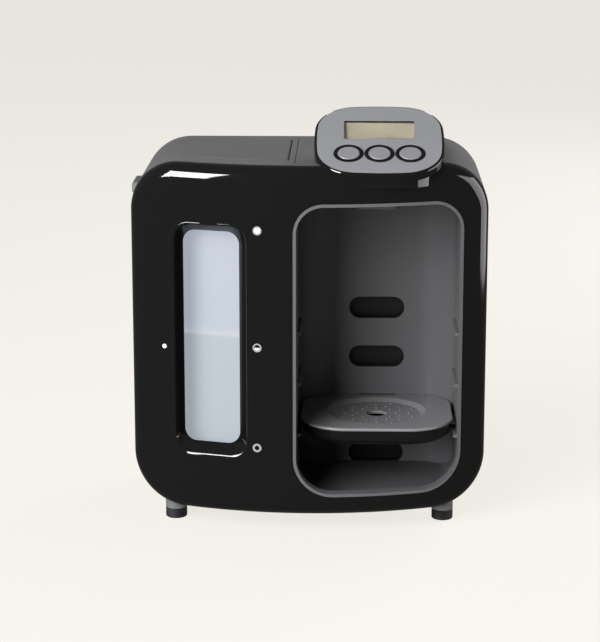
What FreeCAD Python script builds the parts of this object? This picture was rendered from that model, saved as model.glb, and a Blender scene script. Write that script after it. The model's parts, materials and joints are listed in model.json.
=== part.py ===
import FreeCAD, Part
import math
import os
import re

import Sketcher

# Formula milk maker: a glossy bowed front over a grey shell, a lift-out water tank on the left,
# a bottle bay on the right with a pull-out platform, and a sloping control console on top.
# X points to the right, Y to the back and Z up. The origin is on the ground under the middle.
# All sizes are in millimetres. "Depth" is measured back from the foremost line of the front.

os.makedirs("parts", exist_ok=True)
doc = FreeCAD.newDocument("formula_maker")
Vector = FreeCAD.Vector
Rotation = FreeCAD.Rotation
Placement = FreeCAD.Placement

# Driving dimensions

DIMENSIONS = {
    # whole body
    "body_width": 285.0,
    "body_depth": 180.0,
    "body_bottom": 14.0,
    "body_top": 297.0,
    "top_corner": 40.0,
    "bottom_corner": 44.0,
    "bow_radius": 290.0,
    "edge_roll": 12.0,
    "wall": 2.5,
    "seam_gap": 0.3,
    "fascia_depth": 13.0,
    "rear_cover_depth": 12.0,
    "rear_roll": 8.0,
    # bottle bay
    "bay_centre": 55.2,
    "bay_width": 134.6,
    "bay_top": 268.5,
    "bay_bottom": 31.0,
    "bay_top_corner": 24.0,
    "bay_bottom_corner": 32.0,
    "behind_bay": 50.0,
    "bay_floor": 22.9,
    "bay_back_corner": 30.0,
    "liner_wall": 2.4,
    "rim_proud": 0.8,
    "rim_neck": 9.0,
    # height slots and side ledges in the bay
    "slot_width": 46.5,
    "slot_height": 18.6,
    "slot_depth": 14.0,
    "slot_pitch": 42.4,
    "top_slot_level": 157.6,
    "ledge_length": 52.0,
    "ledge_front": 38.0,
    "ledge_reach": 3.2,
    "ledge_height": 2.6,
    # tank window in the front
    "window_centre": -78.2,
    "window_width": 60.0,
    "window_low": 62.0,
    "window_high": 250.8,
    "window_corner": 14.0,
    "funnel_depth": 10.0,
    "funnel_inset": 6.6,
    "funnel_wall": 2.0,
    # tank, collar and lid
    "tank_clearance": 2.0,
    "tank_front_offset": 28.0,
    "tank_right": -24.0,
    "tank_rear_space": 30.0,
    "tank_bottom": 60.5,
    "tank_wall": 2.0,
    "tank_corner": 14.0,
    "collar_bottom": 262.0,
    "collar_front_offset": 26.0,
    "collar_right": -11.5,
    "collar_rear_space": 16.0,
    "collar_wall": 2.5,
    "mouth_inset": 18.0,
    "lid_front_offset": 38.5,
    "lid_right": -16.5,
    "lid_rear_space": 22.0,
    "lid_thickness": 3.0,
    "lid_gap": 0.5,
    "lid_hem": 263.0,
    "hinge_pin_radius": 1.2,
    "hinge_clearance": 0.06,
    "tab_width": 34.0,
    "tab_reach": 3.0,
    "tab_height": 8.5,
    "tab_depth": 100.0,
    # valve at the tank's foot
    "valve_x": -104.0,
    "valve_depth": 96.0,
    "valve_radius": 12.0,
    "valve_foot": 47.5,
    "cradle_floor_top": 57.0,
    "cradle_thickness": 3.0,
    "cradle_side_gap": 0.6,
    "cradle_front_gap": 3.0,
    "cradle_tank_gap": 4.0,
    "cradle_rear_gap": 10.5,
    "cradle_collar_gap": 6.0,
    "cradle_back_start": 15.0,
    "cradle_rib_ahead": 11.0,
    "cradle_rib_lap": 2.0,
    "spigot_floor": 43.0,
    "spigot_clearance": 0.6,
    "spigot_wall": 3.0,
    "spigot_tail": 7.0,
    "hose_radius": 4.0,
    "hose_bore": 2.5,
    # platform and drip tray
    "platform_top_level": 82.0,
    "platform_front": 21.5,
    "platform_side_gap": 2.6,
    "platform_back_gap": 1.4,
    "platform_front_corner": 38.0,
    "platform_rear_corner": 28.0,
    "platform_thickness": 2.6,
    "dish_margin": 12.55,
    "dish_slope": 5.0,
    "dish_drop": 2.6,
    "dish_offset": 2.95,
    "drain_radius": 8.5,
    "pip_radius": 1.0,
    "pip_height": 0.7,
    "tray_height": 12.4,
    "tray_inset": 1.4,
    "tray_wall": 2.0,
    "tray_roll": 8.0,
    "tongue_width": 41.0,
    "tongue_reach": 9.0,
    "tongue_height": 7.0,
    # console
    "console_front": -1.0,
    "console_front_level": 292.2,
    "console_width": 103.0,
    "console_length": 98.0,
    "console_corner": 33.0,
    "console_tilt": 25.5,
    "console_edge": 7.0,
    "console_edge_round": 2.4,
    "console_lip": 1.4,
    "skirt_inset": 6.0,
    "skirt_foot": 281.0,
    "skirt_front": 2.0,
    "skirt_length": 76.0,
    "skirt_corner": 34.0,
    "faceplate_thickness": 1.6,
    "faceplate_inset": 2.0,
    "screen_width": 56.0,
    "screen_length": 25.5,
    "screen_centre": 62.5,
    "screen_corner": 1.2,
    "button_pitch": 24.2,
    "button_row": 29.0,
    "bezel_radius": 11.7,
    "button_radius": 8.6,
    "button_gap": 0.3,
    "button_travel": 0.8,
    "cap_proud": 0.9,
    "cap_stem_radius": 1.4,
    "bezel_proud": 0.5,
    "bezel_flange": 0.5,
    "lens_thickness": 1.2,
    "lens_lap": 1.5,
    "module_thickness": 1.9,
    "module_lap": 3.0,
    "room_depth": 2.1,
    "room_half": 42.0,
    "room_start": 16.0,
    "room_stop": 91.0,
    "room_corner": 4.0,
    "board_thickness": 1.6,
    "board_half": 40.0,
    "board_start": 27.0,
    "board_stop": 90.0,
    "console_bulge": 260.0,
    # feet
    "foot_spread": 109.3,
    "foot_front_depth": 45.0,
    "foot_rear_space": 40.0,
    "foot_radius": 8.7,
    "foot_height": 8.5,
    "foot_stem_radius": 3.5,
    "foot_stem_length": 4.5,
    # service opening in the bottom
    "hatch_foot_gap": 8.6,
    "hatch_front": 58.0,
    "hatch_rear_space": 30.0,
    "hatch_screw_inset": 12.0,
    "hatch_lip": 6.0,
    # water path
    "port_length": 8.0,
    "press_gap": 0.2,
    "hose_run_ahead": 7.0,
    "hose_run_height": 10.5,
    "tight_bend": 6.0,
    "middle_bend": 12.0,
    "wide_bend": 16.0,
    "pump_radius": 15.5,
    "saddle_spread": 16.0,
    "saddle_half": 13.0,
    "saddle_length": 8.0,
    "pump_length": 58.0,
    "pump_x": -58.0,
    "pump_rear_space": 89.0,
    "boiler_radius": 15.5,
    "boiler_length": 126.0,
    "boiler_x": 101.0,
    "boiler_rear_space": 28.0,
    "boiler_bottom": 64.0,
    "strap_wall": 1.9,
    "strap_height": 12.0,
    "strap_low": 22.0,
    "strap_high": 34.0,
    "lug_half": 13.0,
    "lug_thickness": 5.0,
    "thermostat_radius": 7.0,
    "thermostat_height": 6.0,
    "valve_block_width": 26.0,
    "valve_block_length": 36.0,
    "valve_block_height": 15.0,
    "coil_radius": 7.0,
    "coil_length": 22.0,
    "nozzle_width": 34.0,
    "nozzle_length": 34.0,
    "nozzle_drop": 12.0,
    "nozzle_corner": 6.0,
    "nozzle_roof": 3.0,
    "spout_radius": 4.0,
    "spout_bore": 2.4,
    # power board, cover posts, screws and cord bush
    "power_board_left": 60.0,
    "power_board_width": 70.0,
    "power_board_height": 96.0,
    "power_board_space": 20.0,
    "power_board_low": 96.0,
    "board_post_inset": 6.0,
    "board_post_radius": 3.0,
    "part_margin": 8.0,
    "part_height": 10.0,
    "transformer_width": 16.0,
    "transformer_length": 24.0,
    "relay_width": 20.0,
    "relay_length": 14.0,
    "capacitor_radius": 4.0,
    "capacitor_pitch": 14.0,
    "post_radius": 5.0,
    "post_x": 136.0,
    "post_low": 84.0,
    "post_high": 236.0,
    "screw_radius": 1.5,
    "screw_head_radius": 3.0,
    "screw_head_height": 2.2,
    "vent_length": 44.0,
    "vent_width": 3.2,
    "vent_pitch": 9.0,
    "bush_radius": 8.0,
    "bush_bore": 3.8,
    "bush_x": 104.0,
    "bush_level": 40.0,
}

sheet = doc.addObject("Spreadsheet::Sheet", "Sizes")
for row, (alias, number) in enumerate(DIMENSIONS.items(), start=1):
    sheet.set(f"A{row}", alias)
    sheet.set(f"B{row}", str(number))
    sheet.setAlias(f"B{row}", alias)
doc.recompute()

FUNCTIONS = {"sqrt", "sin", "cos", "tan", "deg"}


def value(text):
    """The number that an expression of sheet aliases gives now."""
    return float(sheet.evalExpression(text))


def linked(text):
    """The same expression as other objects of the document have to write it."""
    def prefix(match):
        word = match.group(0)
        return word if word in FUNCTIONS else "Sizes." + word
    return re.sub(r"[a-z][a-z_]*", prefix, text)


def bind(item, prop, text):
    item.setExpression(prop, linked(text))


# Places that several pieces share, as expressions of the sheet's aliases

HALF = "(body_width / 2)"
FRONT = "(-body_depth / 2)"
BOW_CENTRE = "(bow_radius - body_depth / 2)"
REAR = "(body_depth / 2)"
SLEEVE_REAR = "(body_depth / 2 - rear_cover_depth)"
BAY_LEFT = "(bay_centre - bay_width / 2)"
BAY_RIGHT = "(bay_centre + bay_width / 2)"
BAY_BACK = "(body_depth / 2 - behind_bay)"
BAY_CEILING = "(bay_top - liner_wall)"
CONSOLE_Y = "(console_front - body_depth / 2)"


def at_depth(text):
    """Y of a point a given depth behind the foremost line of the front."""
    return f"({text} - body_depth / 2)"


def from_rear(text):
    """Y of a point a given distance ahead of the rear face."""
    return f"(body_depth / 2 - {text})"


PLATFORM_BACK = from_rear("(behind_bay + platform_back_gap)")
DISH_Y = f"(({at_depth('platform_front')} + {PLATFORM_BACK}) / 2 + dish_offset)"


# Sketch helpers: every profile is fully fixed by named sizes

def fix_point(sketch, geometry, point, across, along):
    for kind, text in (("DistanceX", across), ("DistanceY", along)):
        number = sketch.addConstraint(Sketcher.Constraint(kind, -1, 1, geometry, point, value(text)))
        bind(sketch, f"Constraints[{number}]", text)


def fix_radius(sketch, geometry, text):
    number = sketch.addConstraint(Sketcher.Constraint("Radius", geometry, value(text)))
    bind(sketch, f"Constraints[{number}]", text)


def draw_circle(sketch, across, along, radius):
    ring = Part.Circle(Vector(value(across), value(along), 0), Vector(0, 0, 1), value(radius))
    geometry = sketch.addGeometry(ring, False)
    fix_point(sketch, geometry, 3, across, along)
    fix_radius(sketch, geometry, radius)


def draw_polygon(sketch, corners):
    points = [Vector(value(across), value(along), 0) for across, along in corners]
    count = len(points)
    lines = []
    for index in range(count):
        line = Part.LineSegment(points[index], points[(index + 1) % count])
        lines.append(sketch.addGeometry(line, False))
    for index in range(count):
        following = lines[(index + 1) % count]
        sketch.addConstraint(Sketcher.Constraint("Coincident", lines[index], 2, following, 1))
    for index, (across, along) in enumerate(corners):
        fix_point(sketch, lines[index], 1, across, along)


def draw_rectangle(sketch, left, right, low, high):
    draw_polygon(sketch, [(left, low), (right, low), (right, high), (left, high)])


def draw_rounded(sketch, left, right, low, high, low_radius, high_radius=None):
    """A rectangle with tangent corner arcs; the high corners may have their own radius."""
    high_radius = high_radius or low_radius
    corners = [
        (f"({left}) + {low_radius}", f"({low}) + {low_radius}", low_radius, math.pi),
        (f"({right}) - {low_radius}", f"({low}) + {low_radius}", low_radius, 1.5 * math.pi),
        (f"({right}) - {high_radius}", f"({high}) - {high_radius}", high_radius, 0.0),
        (f"({left}) + {high_radius}", f"({high}) - {high_radius}", high_radius, 0.5 * math.pi),
    ]
    arcs = []
    ends = []
    for across, along, radius, start in corners:
        centre = Vector(value(across), value(along), 0)
        size = value(radius)
        circle = Part.Circle(centre, Vector(0, 0, 1), size)
        arcs.append(sketch.addGeometry(Part.ArcOfCircle(circle, start, start + math.pi / 2), False))
        ends.append([
            centre + Vector(size * math.cos(turn), size * math.sin(turn), 0)
            for turn in (start, start + math.pi / 2)
        ])
    for index in range(4):
        following = (index + 1) % 4
        line = sketch.addGeometry(Part.LineSegment(ends[index][1], ends[following][0]), False)
        sketch.addConstraint(Sketcher.Constraint("Tangent", arcs[index], 2, line, 1))
        sketch.addConstraint(Sketcher.Constraint("Tangent", line, 2, arcs[following], 1))
    for index, (across, along, radius, start) in enumerate(corners):
        fix_point(sketch, arcs[index], 3, across, along)
        fix_radius(sketch, arcs[index], radius)


def draw_behind_bow(sketch, offset, back):
    """Plan region from the bowed front, moved back by an offset, to a straight line behind it."""
    reach = value(HALF) + 20.0
    edge = f"({HALF} + 20)"
    radius = f"(bow_radius - ({offset}))"
    size = value(radius)
    centre_y = value(BOW_CENTRE)
    end_y = centre_y - math.sqrt(size ** 2 - reach ** 2)
    start = math.atan2(end_y - centre_y, -reach)
    stop = math.atan2(end_y - centre_y, reach)
    circle = Part.Circle(Vector(0, centre_y, 0), Vector(0, 0, 1), size)
    arc = sketch.addGeometry(Part.ArcOfCircle(circle, start, stop), False)
    back_y = value(back)
    points = [(reach, end_y), (reach, back_y), (-reach, back_y), (-reach, end_y)]
    sides = []
    for first, second in zip(points, points[1:]):
        line = Part.LineSegment(Vector(*first, 0), Vector(*second, 0))
        sides.append(sketch.addGeometry(line, False))
    sketch.addConstraint(Sketcher.Constraint("Coincident", arc, 2, sides[0], 1))
    sketch.addConstraint(Sketcher.Constraint("Coincident", sides[0], 2, sides[1], 1))
    sketch.addConstraint(Sketcher.Constraint("Coincident", sides[1], 2, sides[2], 1))
    sketch.addConstraint(Sketcher.Constraint("Coincident", sides[2], 2, arc, 1))
    fix_point(sketch, arc, 3, "0", BOW_CENTRE)
    fix_radius(sketch, arc, radius)
    fix_point(sketch, sides[1], 1, edge, back)
    fix_point(sketch, sides[1], 2, f"-{edge}", back)
    for geometry, point, text in ((arc, 2, edge), (arc, 1, f"-{edge}")):
        number = sketch.addConstraint(
            Sketcher.Constraint("DistanceX", -1, 1, geometry, point, value(text)))
        bind(sketch, f"Constraints[{number}]", text)


# Free-standing solids: a sketch on a plane, swept straight

PLANES = {
    "y": (Rotation(Vector(1, 0, 0), 90), Vector(0, 1, 0)),
    "z": (Rotation(), Vector(0, 0, 1)),
    "x": (Rotation(Vector(1, 1, 1), 120), Vector(1, 0, 0)),
}


def prism(name, axis, low, high, draw, *sizes):
    """A profile drawn square to an axis and extruded from one level to another."""
    rotation, direction = PLANES[axis]
    sketch = doc.addObject("Sketcher::SketchObject", name + "_outline")
    draw(sketch, *sizes)
    sketch.Placement = Placement(direction * value(low), rotation)
    bind(sketch, f".Placement.Base.{axis}", low)
    solid = doc.addObject("Part::Extrusion", name)
    solid.Base = sketch
    solid.DirMode = "Custom"
    solid.Dir = direction
    bind(solid, "LengthFwd", f"({high}) - ({low})")
    solid.Solid = True
    return solid


def cylinder(name, axis, across, along, low, high, radius):
    return prism(name, axis, low, high, draw_circle, across, along, radius)


def block(name, left, right, front, back, low, high):
    solid = doc.addObject("Part::Box", name)
    bind(solid, "Length", f"({right}) - ({left})")
    bind(solid, "Width", f"({back}) - ({front})")
    bind(solid, "Height", f"({high}) - ({low})")
    for side, text in (("x", left), ("y", front), ("z", low)):
        bind(solid, f".Placement.Base.{side}", text)
    return solid


def joined(name, *solids):
    result = doc.addObject("Part::MultiFuse", name)
    result.Shapes = list(solids)
    result.Refine = True
    return result


def shared(name, *solids):
    result = doc.addObject("Part::MultiCommon", name)
    result.Shapes = list(solids)
    return result


def without(name, base, *tools):
    tool = tools[0] if len(tools) == 1 else joined(name + "_tools", *tools)
    result = doc.addObject("Part::Cut", name)
    result.Base = base
    result.Tool = tool
    result.Refine = True
    return result


def edge_numbers(shape, test):
    return [number for number, edge in enumerate(shape.Edges, start=1) if test(edge)]


def rounded(name, base, size, test):
    """The base with the edges that pass a test rounded to a named radius."""
    doc.recompute()
    radius = value(size)
    result = doc.addObject("Part::Fillet", name)
    result.Base = base
    result.Edges = [(number, radius, radius) for number in edge_numbers(base.Shape, test)]
    return result


def face_names(shape, test):
    return [f"Face{number}" for number, face in enumerate(shape.Faces, start=1) if test(face)]


def hollow(name, base, thickness, test):
    """A shell of even wall, open at the faces that pass a test."""
    doc.recompute()
    result = doc.addObject("Part::Thickness", name)
    result.Faces = (base, face_names(base.Shape, test))
    bind(result, "Value", f"-({thickness})")
    result.Mode = 0
    result.Join = 0
    return result


def on_cylinder(radius, centre_y):
    """Tests whether an edge lies on an upright cylinder about the bow's centre line."""
    def test(edge):
        points = edge.discretize(5)
        return all(abs(math.hypot(point.x, point.y - centre_y) - radius) < 0.01 for point in points)
    return test


nodes = {}


def keep(node, solid):
    """Names a finished piece; the name is its file's too."""
    solid.Label = node
    nodes[node] = solid
    return solid


# Outer shells: glossy front, grey sleeve, rear cover and the hatch underneath

def body_outline(sketch, inset="0"):
    draw_rounded(
        sketch, f"-{HALF} + {inset}", f"{HALF} - ({inset})", f"body_bottom + {inset}",
        f"body_top - ({inset})", f"(bottom_corner - ({inset}))", f"(top_corner - ({inset}))")


def bay_outline(sketch, inset):
    draw_rounded(
        sketch, f"{BAY_LEFT} + {inset}", f"{BAY_RIGHT} - ({inset})", f"bay_bottom + {inset}",
        f"bay_top - ({inset})", f"(bay_bottom_corner - ({inset}))",
        f"(bay_top_corner - ({inset}))")


def bowed(name, offset, back, low="-20", high="body_top + 60"):
    """Everything behind the bowed front, moved back by an offset, as far as a plane."""
    return prism(name, "z", low, high, draw_behind_bow, offset, back)


def window_section(name, step):
    """The window's outline square to the bowed surface at its middle, a step behind it."""
    sketch = doc.addObject("Sketcher::SketchObject", name)
    inset = f"(funnel_inset * ({step}) / funnel_depth)"
    reach = f"(window_width / 2 / sqrt(1 - (window_centre / bow_radius) ^ 2) - {inset})"
    draw_rounded(
        sketch, f"-{reach}", reach, f"window_low + {inset}", f"window_high - {inset}",
        f"(window_corner - {inset} / 2)")
    turn = math.asin(value("window_centre / bow_radius"))
    deep = f"(bow_radius - ({step}))"
    across = f"window_centre * {deep} / bow_radius"
    back = f"{BOW_CENTRE} - {deep} * sqrt(1 - (window_centre / bow_radius) ^ 2)"
    turned = Rotation(Vector(0, 0, 1), math.degrees(turn)).multiply(PLANES["y"][0])
    sketch.Placement = Placement(Vector(value(across), value(back), 0), turned)
    bind(sketch, ".Placement.Base.x", across)
    bind(sketch, ".Placement.Base.y", back)
    return sketch


def funnel(name, shift):
    """The tapering hole of the window; a shift forwards gives the outside of its frame."""
    plug = doc.addObject("Part::Loft", name)
    plug.Sections = [
        window_section(name + "_mouth", f"-4 - ({shift})"),
        window_section(name + "_throat", f"funnel_depth + 5 - ({shift})"),
    ]
    plug.Solid = True
    plug.Ruled = True
    return plug


def console_seat(name, grow):
    """The room that the console's edge takes up in the machine's top front edge."""
    return tilted(
        name, f"(-faceplate_thickness - console_lip - ({grow}))", "60", bulged_outline,
        f"-({grow})")


def front_fascia():
    blank = prism("fascia_blank", "y", FRONT, "0", body_outline)
    slab = without(
        "fascia_slab", shared("fascia_bow", blank, bowed("fascia_front", "0", "0")),
        bowed("fascia_seam", "fascia_depth", "20"))
    rolled = rounded(
        "fascia_rolled", slab, "edge_roll",
        on_cylinder(value("bow_radius"), value(BOW_CENTRE)))
    seam_radius = value("bow_radius - fascia_depth")
    shell = hollow(
        "fascia_shell", rolled, "wall",
        lambda face: isinstance(face.Surface, Part.Cylinder)
        and abs(face.Surface.Radius - seam_radius) < 0.01)
    frame = without(
        "window_frame",
        shared("window_frame_blank", funnel("window_outside", "funnel_wall * 1.6"),
               bowed("window_frame_front", "wall / 2", "0")),
        bowed("window_frame_rear", "funnel_depth", "20"))
    bay_hole = prism("fascia_bay_hole", "y", f"{FRONT} - 5", "0", bay_outline, "-seam_gap")
    solid = without(
        "fascia_opened", joined("fascia_framed", shell, frame), funnel("window_hole", "0"), bay_hole,
        console_seat("fascia_seat", "seam_gap"))
    keep("front_fascia", solid)


def tank_cutout(name, gap, low):
    """The corner of the sleeve that the tank's collar and lid take up."""
    corner = block(
        name + "_corner", f"-{HALF} - 10", f"collar_right + {gap}", FRONT,
        from_rear(f"(collar_rear_space - {gap})"), low, "body_top + 10")
    return shared(name, corner, bowed(name + "_front", f"(collar_front_offset - {gap})", REAR))


HATCH_HALF = "(foot_spread - foot_radius - hatch_foot_gap)"


def hatch_outline(sketch, inset):
    draw_rounded(
        sketch, f"-{HATCH_HALF} + {inset}", f"{HATCH_HALF} - ({inset})",
        f"{at_depth('hatch_front')} + {inset}", f"{from_rear('hatch_rear_space')} - ({inset})",
        f"(hatch_lip + 2 - ({inset}))")


FOOT_PLACES = {
    "front_left": ("-foot_spread", at_depth("foot_front_depth")),
    "front_right": ("foot_spread", at_depth("foot_front_depth")),
    "rear_left": ("-foot_spread", from_rear("foot_rear_space")),
    "rear_right": ("foot_spread", from_rear("foot_rear_space")),
}
POST_PLACES = [
    (side + "post_x", level) for side in ("-", "") for level in ("post_low", "post_high")
]
HATCH_SCREWS = [
    (f"{side}({HATCH_HALF} + hatch_lip / 2)", along)
    for side in ("-", "")
    for along in (at_depth("(hatch_front + hatch_screw_inset)"),
                  from_rear("(hatch_rear_space + hatch_screw_inset)"))
]


def body_sleeve():
    blank = prism("sleeve_blank", "y", FRONT, SLEEVE_REAR, body_outline)
    bore = prism("sleeve_bore", "y", f"{FRONT} - 1", REAR, body_outline, "wall")
    front = bowed("sleeve_front", "(fascia_depth + seam_gap)", SLEEVE_REAR)
    sockets = []
    stems = []
    for corner, (across, along) in FOOT_PLACES.items():
        sockets.append(cylinder(
            f"foot_socket_{corner}", "z", across, along, "foot_height", "body_bottom + 8",
            "foot_radius"))
        stems.append(cylinder(
            f"foot_stem_hole_{corner}", "z", across, along, "foot_height - 1",
            "foot_height + foot_stem_length + 0.3", "foot_stem_radius + 0.1"))
    outside = without(
        "sleeve_outside", joined("sleeve_feet", shared("sleeve_bow", blank, front), *sockets), bore)
    bosses = []
    threads = []
    for number, (across, level) in enumerate(POST_PLACES, start=1):
        bosses.append(cylinder(
            f"sleeve_boss_{number}", "y", across, level, f"{SLEEVE_REAR} - 16", SLEEVE_REAR,
            "post_radius"))
        threads.append(cylinder(
            f"sleeve_thread_{number}", "y", across, level, f"{SLEEVE_REAR} - 12",
            f"{SLEEVE_REAR} + 1", "screw_radius + 0.1"))
    for number, (across, along) in enumerate(HATCH_SCREWS, start=1):
        threads.append(cylinder(
            f"hatch_screw_hole_{number}", "z", across, along, "body_bottom - 1",
            "body_bottom + wall + 1", "screw_radius + 0.1"))
    hatch = prism(
        "sleeve_hatch", "z", "body_bottom - 1", "body_bottom + wall + 1", hatch_outline, "0")
    wire_hole = cylinder(
        "deck_wire_hole", "z", "bay_centre", at_depth("60"), "body_top - 10", "body_top + 1", "6")
    solid = without(
        "sleeve_cut", joined("sleeve_bossed", outside, *bosses),
        tank_cutout("sleeve_tank_cutout", "lid_gap", "collar_bottom - lid_gap"),
        console_seat("sleeve_seat", "seam_gap"), hatch, wire_hole, *stems, *threads)
    keep("body_sleeve", solid)


def rear_cover():
    blank = prism("cover_blank", "y", f"({SLEEVE_REAR} + seam_gap)", REAR, body_outline)
    rear_y = value(REAR)
    rolled = rounded(
        "cover_rolled", blank, "rear_roll",
        lambda edge: abs(edge.BoundBox.YMin - rear_y) < 0.01 and edge.BoundBox.YLength < 0.01)
    front_y = value(f"{SLEEVE_REAR} + seam_gap")
    shell = hollow(
        "cover_shell", rolled, "wall",
        lambda face: abs(face.BoundBox.YMax - front_y) < 0.01)
    posts = []
    holes = []
    for number, (across, level) in enumerate(POST_PLACES, start=1):
        posts.append(cylinder(
            f"cover_post_{number}", "y", across, level, f"({SLEEVE_REAR} + seam_gap)",
            f"({REAR} - wall / 2)", "post_radius"))
        holes.append(cylinder(
            f"cover_hole_{number}", "y", across, level, f"({SLEEVE_REAR} - 1)",
            f"({REAR} + 1)", "screw_radius + 0.1"))
        holes.append(cylinder(
            f"cover_sink_{number}", "y", across, level, SCREW_SEAT, f"({REAR} + 1)",
            "screw_head_radius + 0.3"))
    for number, (across, level) in enumerate(BOARD_POSTS, start=1):
        posts.append(cylinder(
            f"board_post_{number}", "y", across, level, BOARD_REAR, f"({REAR} - wall / 2)",
            "board_post_radius"))
    rows = 7
    for column, centre in enumerate(("-60", "60")):
        for row in range(rows):
            level = f"(post_high + {5 - row} * vent_pitch)"
            holes.append(prism(
                f"vent_{column}_{row}", "y", f"({REAR} - wall - 1)", f"({REAR} + 1)",
                vent_slot, centre, level))
    holes.append(cylinder(
        "bush_hole", "y", "bush_x", "bush_level", f"({REAR} - wall - 1)", f"({REAR} + 1)",
        "bush_radius"))
    solid = without("cover_opened", joined("cover_posted", shell, *posts), *holes)
    keep("rear_cover", solid)


def vent_slot(sketch, centre, level):
    draw_rounded(
        sketch, f"{centre} - vent_length / 2", f"{centre} + vent_length / 2",
        f"{level} - vent_width / 2", f"{level} + vent_width / 2", "(vent_width / 2 - 0.1)")


SCREW_SEAT = f"({REAR} - 5)"
BOARD_FACE = from_rear("power_board_space")
BOARD_REAR = f"({BOARD_FACE} + board_thickness)"
BOARD_LEFT = "(bay_centre - power_board_left)"
BOARD_POSTS = [
    (f"({BOARD_LEFT} + {across})", f"(power_board_low + {level})")
    for across in ("board_post_inset", "power_board_width - board_post_inset")
    for level in ("board_post_inset", "power_board_height - board_post_inset")
]


def hatch_cover():
    plug = prism(
        "hatch_plug", "z", "body_bottom", "body_bottom + wall", hatch_outline, "seam_gap")
    flange = prism(
        "hatch_flange", "z", "body_bottom + wall", "body_bottom + wall + 2", hatch_outline,
        "-hatch_lip")
    holes = []
    for number, (across, along) in enumerate(HATCH_SCREWS, start=1):
        holes.append(cylinder(
            f"hatch_thread_{number}", "z", across, along, "body_bottom", "body_bottom + 10",
            "screw_radius + 0.1"))
    for column, centre in enumerate(("-40", "40")):
        for row in range(5):
            level = f"((hatch_front - hatch_rear_space) / 2 + {row - 2} * vent_pitch)"
            holes.append(prism(
                f"hatch_vent_{column}_{row}", "z", "body_bottom - 1", "body_bottom + 10",
                vent_slot, centre, level))
    keep("hatch_cover", without("hatch_drilled", joined("hatch_blank", plug, flange), *holes))


def feet():
    """Four rubber feet, each a rounded pad with a stem in its socket."""
    for corner, (across, along) in FOOT_PLACES.items():
        pad = cylinder(
            f"foot_pad_{corner}", "z", across, along, "0", "foot_height", "foot_radius")
        soft = rounded(
            f"foot_soft_{corner}", pad, "wall / 2",
            lambda edge: edge.BoundBox.ZMax < 0.01)
        stem = cylinder(
            f"foot_stem_{corner}", "z", across, along, "foot_height - 1",
            "foot_height + foot_stem_length", "foot_stem_radius")
        keep(f"foot_{corner}", joined(f"foot_whole_{corner}", soft, stem))


def screw_group(node, places, axis, seat, tip, outward):
    """Pan-head screws of one kind as one node: a head outside the seat and a shank to the tip."""
    pieces = []
    for number, (across, along) in enumerate(places, start=1):
        head_low, head_high = (seat, f"({seat} + screw_head_height)")
        shank_low, shank_high = (tip, seat)
        if outward < 0:
            head_low, head_high = (f"({seat} - screw_head_height)", seat)
            shank_low, shank_high = (seat, tip)
        head = cylinder(
            f"{node}_head_{number}", axis, across, along, head_low, head_high,
            "screw_head_radius")
        shank = cylinder(
            f"{node}_shank_{number}", axis, across, along, shank_low, shank_high,
            "screw_radius")
        pieces.append(joined(f"{node}_{number}", head, shank))
    group = doc.addObject("Part::Compound", node)
    group.Links = pieces
    keep(node, group)


# Bottle bay: the charcoal liner with its rim, blind height slots and side ledges

def bay_plan(sketch, inset, front):
    draw_rounded(
        sketch, f"{BAY_LEFT} + {inset}", f"{BAY_RIGHT} - ({inset})", front,
        f"{BAY_BACK} + liner_wall - ({inset})", "5", f"(bay_back_corner + liner_wall - ({inset}))")


def bay_section(sketch, inset):
    draw_rounded(
        sketch, f"{BAY_LEFT} + {inset}", f"{BAY_RIGHT} - ({inset})",
        f"bay_floor - liner_wall + {inset}", f"bay_top - ({inset})",
        f"(bay_bottom_corner / 2 - ({inset}))", f"(bay_top_corner - ({inset}))")


def bay_body(name, inset, offset):
    """The bay's box behind its neck, round in plan at the back and at its upper corners."""
    return shared(
        name,
        prism(name + "_section", "y", FRONT, f"({BAY_BACK} + 10)", bay_section, inset),
        prism(name + "_plan", "z", "0", "body_top", bay_plan, inset, f"({FRONT} - 20)"),
        bowed(name + "_front", offset, f"({BAY_BACK} + 20)"))


def bay_neck(name, inset, offset, back):
    return shared(
        name,
        prism(name + "_section", "y", f"({FRONT} - 5)", back, bay_outline, inset),
        bowed(name + "_front", offset, REAR))


def slot_outline(sketch, level, grow):
    draw_rounded(
        sketch, f"bay_centre - slot_width / 2 - ({grow})",
        f"bay_centre + slot_width / 2 + {grow}", f"{level} - slot_height / 2 - ({grow})",
        f"{level} + slot_height / 2 + {grow}", f"(slot_height / 2 - 0.2 + {grow})")


SLOT_LEVELS = [f"(top_slot_level - {number} * slot_pitch)" for number in range(4)]


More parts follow.
